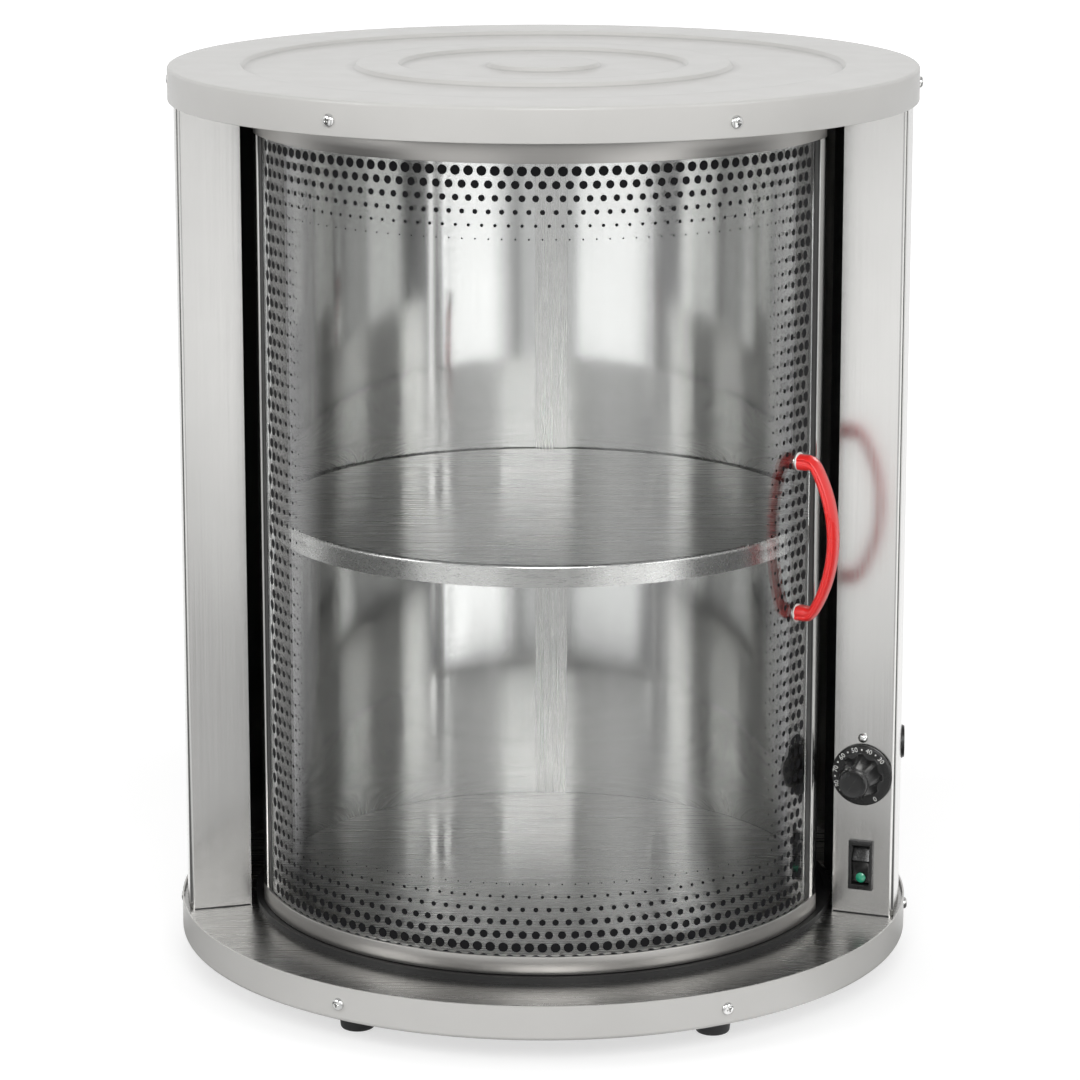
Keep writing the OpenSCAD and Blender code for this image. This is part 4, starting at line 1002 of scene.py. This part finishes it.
# %% Where the controls are
knob_joint = joints["thermostat_turn"]
FACE_OUT = Vector(knob_joint["axis"]).normalized()
FACE_RIGHT = Vector((0, 0, 1)).cross(FACE_OUT).normalized()
FACE_MID = Vector(knob_joint["pos_m"])


def on_face(height, lift=0.0):
    """A matrix on the right front face: X to the right, Y up, Z out of the face."""
    frame_here = Matrix((FACE_RIGHT, (0, 0, 1), FACE_OUT)).transposed().to_4x4()
    spot_here = Vector((FACE_MID.x, FACE_MID.y, height)) + FACE_OUT * lift
    return Matrix.Translation(spot_here) @ frame_here


KNOB_Z = FACE_MID.z
for label, axis in (("knob axis", FACE_OUT), ("to the right", FACE_RIGHT)):
    print(label, tuple(round(v, 3) for v in axis))

# %% Knob body
SKIRT_T, GRIP_LOW_R, GRIP_TOP_R, GRIP_TOP = [v * MM for v in (2.4, 13.5, 9.6, 19.6)]
BORE_R, BORE_H, KNOB_GAP = [v * MM for v in (3.05, 17.0, 1.0)]
HOLLOWS, HOLLOW_R, BLEND = 8, 4.2 * MM, 0.35 * MM


def grip_radius(angle, radius, depth):
    """Radius of the grip at an angle: the cone, or the nearest finger hollow, softly joined."""
    middle_of = radius + HOLLOW_R - depth
    pitch = 2 * math.pi / HOLLOWS
    off = (angle % pitch) - pitch / 2
    reach_of = HOLLOW_R ** 2 - (middle_of * math.sin(off)) ** 2
    if reach_of <= 0:
        return radius
    hollow = middle_of * math.cos(off) - math.sqrt(reach_of)
    near = max(0.0, 1 - abs(hollow - radius) / (4 * BLEND))
    return min(hollow, radius) - near * near * BLEND


def knob_ring(radius, height, depth=0.0, count=256):
    """A ring round the knob's axis, with finger hollows of a depth."""
    turns = [2 * math.pi * i / count for i in range(count)]
    radii = [grip_radius(a, radius, depth) if depth else radius for a in turns]
    return [(r * math.sin(a), r * math.cos(a), height) for a, r in zip(turns, radii)]


def grip_ring(t):
    """A ring on the grip's tapered side, t from 0 (skirt) to 1 (top)."""
    radius = GRIP_LOW_R + (GRIP_TOP_R - GRIP_LOW_R) * t
    return knob_ring(radius, SKIRT_T + (GRIP_TOP - SKIRT_T) * t, (2.0 - 1.0 * t) * MM)


def turned_ring(radius, height):
    return knob_ring(radius * MM, height * MM)


skirt = [knob_ring(BORE_R, BORE_H), knob_ring(BORE_R, 0.0)] + [turned_ring(r, z) for r, z in (
    (18.6, 0.0), (18.92, 0.1), (19.0, 0.4), (18.9, 1.5), (18.6, 2.1), (18.25, 2.36), (17.9, 2.4),
    (14.6, 2.4), (13.9, 2.4))]
grip = [grip_ring(t) for t in (0.02, 0.06, 0.2, 0.4, 0.6, 0.8, 0.93, 0.97)]
cap = [turned_ring(r, z) for r, z in (
    (9.35, 19.45), (9.1, 19.6), (8.95, 19.6), (8.85, 19.7), (8.8, 19.9), (8.62, 22.4), (8.5, 22.75),
    (8.25, 22.95), (7.9, 23.0), (7.6, 22.93), (7.35, 22.8), (4.0, 22.8), (0.5, 22.8))]
piece("thermostat_dial", lofted(skirt + grip + cap), black_satin, "knob",
      ["thermostat_knob"], place=on_face(KNOB_Z, KNOB_GAP), crease=42)

# %% [markdown]
# The numbers are printed on the real dial. An image could carry them, but text keeps them crisp.
# Blender keeps text as a curve, so each number is made a mesh before it is placed, and all of them
# are then joined. The dots between them follow a rule, so they come from a small tree.

# %% Numbers on the skirt
STEP_A, FIRST_A, TEXT_R, DIGIT_H, SIZE_TO_H = 32.15, 48.8, 16.25 * MM, 3.1 * MM, 1.35
INK_T = 0.06 * MM
INK_Z = KNOB_GAP + SKIRT_T + INK_T / 2
marks = [(str(v), FIRST_A - (v - 30) / 10 * STEP_A) for v in range(30, 90, 10)] + [("0", 147.0)]
words = bmesh.new()
to_rim = Matrix.Translation((0, TEXT_R, 0))
for word, clockwise in marks:
    text = bpy.data.curves.new("word", "FONT")
    text.body, text.size = word, DIGIT_H * SIZE_TO_H
    text.align_x = text.align_y = "CENTER"
    text.extrude, text.resolution_u = INK_T / 2, 3
    holder = linked("word", text)
    dg = bpy.context.evaluated_depsgraph_get()
    mesh = bpy.data.meshes.new_from_object(holder.evaluated_get(dg))
    bpy.data.objects.remove(holder)
    mesh.transform(Matrix.Rotation(math.radians(-clockwise), 4, "Z") @ to_rim)
    words.from_mesh(mesh)
mesh = bpy.data.meshes.new("dial_numbers")
words.to_mesh(mesh)
words.free()
mesh.transform(on_face(KNOB_Z, INK_Z))
hang(linked("dial_numbers", mesh), ink_white, "knob")

# %% Dots between the numbers
ticks, t_in, t_out = geometry_tree("dial_dots", [
    ("Count", INTEGER, 6), ("Radius", FLOAT, 0.0164), ("Dot", FLOAT, 0.0006),
    ("Height", FLOAT, 0.0), ("First angle", FLOAT, 0.0), ("Step", FLOAT, 0.5),
    ("Ink", MATERIAL, None)])
index = ticks.nodes.new("GeometryNodeInputIndex").outputs[0]
around = calc(ticks, "SUBTRACT", t_in["First angle"], times(ticks, index, t_in["Step"]))
place = combined(ticks, times(ticks, calc(ticks, "SINE", around), t_in["Radius"]),
                 times(ticks, calc(ticks, "COSINE", around), t_in["Radius"]), t_in["Height"])
places = add(ticks, "GeometryNodePoints", {"Count": t_in["Count"], "Position": place})
drop = add(ticks, "GeometryNodeMeshCylinder", {
    "Vertices": 14, "Depth": INK_T, "Radius": t_in["Dot"]})
closed_off(ticks, stamped(ticks, places.outputs[0], drop.outputs["Mesh"]), t_in["Ink"], t_out)
grown("dial_dots", ticks, {
    "Count": 6, "Radius": 16.4 * MM, "Dot": 0.55 * MM, "Height": INK_Z,
    "First angle": math.radians(FIRST_A - STEP_A / 2), "Step": math.radians(STEP_A),
    "Ink": ink_white,
}, ink_white, "knob", place=on_face(KNOB_Z))

# %% [markdown]
# ## Painted shade at the joints
# A thin dark bead lies in the joint between each front panel and the deck: painted shade for the
# shade line of that joint. Its ends are found from the panel's own vertices: those in the plane of
# the face, at its lower edge.

# %% Beads of painted shade at the foot of the front panels
BEAD = 0.7 * MM


def bead(name, node, mirror):
    """A small dark bead of painted shade, with a hollow face, along the lower edge of a front
    panel.
    """
    out_of, along = FACE_OUT.copy(), FACE_RIGHT.copy()
    spot_at = FACE_MID.copy()
    if mirror:
        for vector in (out_of, along, spot_at):
            vector.x = -vector.x
    foot_z = low(node)
    span = [(v.co - spot_at).dot(along) for v in parts[node].data.vertices
            if abs((v.co - spot_at).dot(out_of)) < 0.2 * MM and v.co.z < foot_z + MM]
    ends, bead_section = [], ((0.0, 0.0), (BEAD, 0.0), (BEAD * 0.45, BEAD * 0.45), (0.0, BEAD))
    for at in (min(span) + BEAD, max(span) - BEAD):
        base = Vector((spot_at.x, spot_at.y, foot_z)) + along * at
        ends.append([tuple(base + out_of * o + Vector((0, 0, h))) for o, h in bead_section])
    piece(name, lofted(ends), black_plastic_and_shade, "cabinet", edge=0.05 * MM)


bead("right_joint_bead", "right_front_panel", False)
bead("left_joint_bead", "left_front_panel", True)

# %% [markdown]
# ## Small parts
# Parts with plain shapes only need what a mould or a press leaves: small round edges that catch
# the light. A copy of the CAD part is merged, its flat faces are joined again, and its sharp edges
# are rounded. The copy then stands for the part.

# %% Parts with softened edges
softened("switch_housing", 0.35 * MM, black_satin, "cabinet")
softened("switch_rocker", 0.25 * MM, black_satin, "rocker")
softened("feet", 0.4 * MM, rubber, "cabinet")
print("softened parts are in place")

# %% Finishes of the other CAD parts
finishes = {
    steel_casing: ["outer_casing", "left_front_panel", "right_front_panel"],
    paint_tray: ["base_tray"],
    steel_deck_shaded: ["base_deck"],
    steel_drum: ["inner_liner"],
    steel_shelf_shaded: ["shelf", "inner_floor"],
    steel_strip: ["rear_strip"],
    # near-black painted shade on the steel partition
    steel_partition_shade: ["control_box"],
    steel_zinc: ["ceiling_pan", "shelf_brackets", "heater_clips"],
    steel_screw: ["foot_screws", "handle_screws", "index_stud", "thermostat_shaft"],
    # the tracks' black is partly painted shade: it stands for the dark gap above and below the door
    # rails
    black_plastic_and_shade: ["upper_track", "lower_track", "door_glides", "door_stops"],
    black_satin: ["side_plug", "cord_bushing"],
    copper: ["thermostat_bulb"],
    heater_skin: ["heating_element"],
    brown: ["thermostat_body", "safety_cutout"],
    ceramic: ["terminal_block"],
    lens_green: ["switch_lens"],
}
for material, names in finishes.items():
    for name in names:
        parts[name].data.materials.clear()
        parts[name].data.materials.append(material)
print("finished", sum(len(n) for n in finishes.values()), "CAD parts as they are")
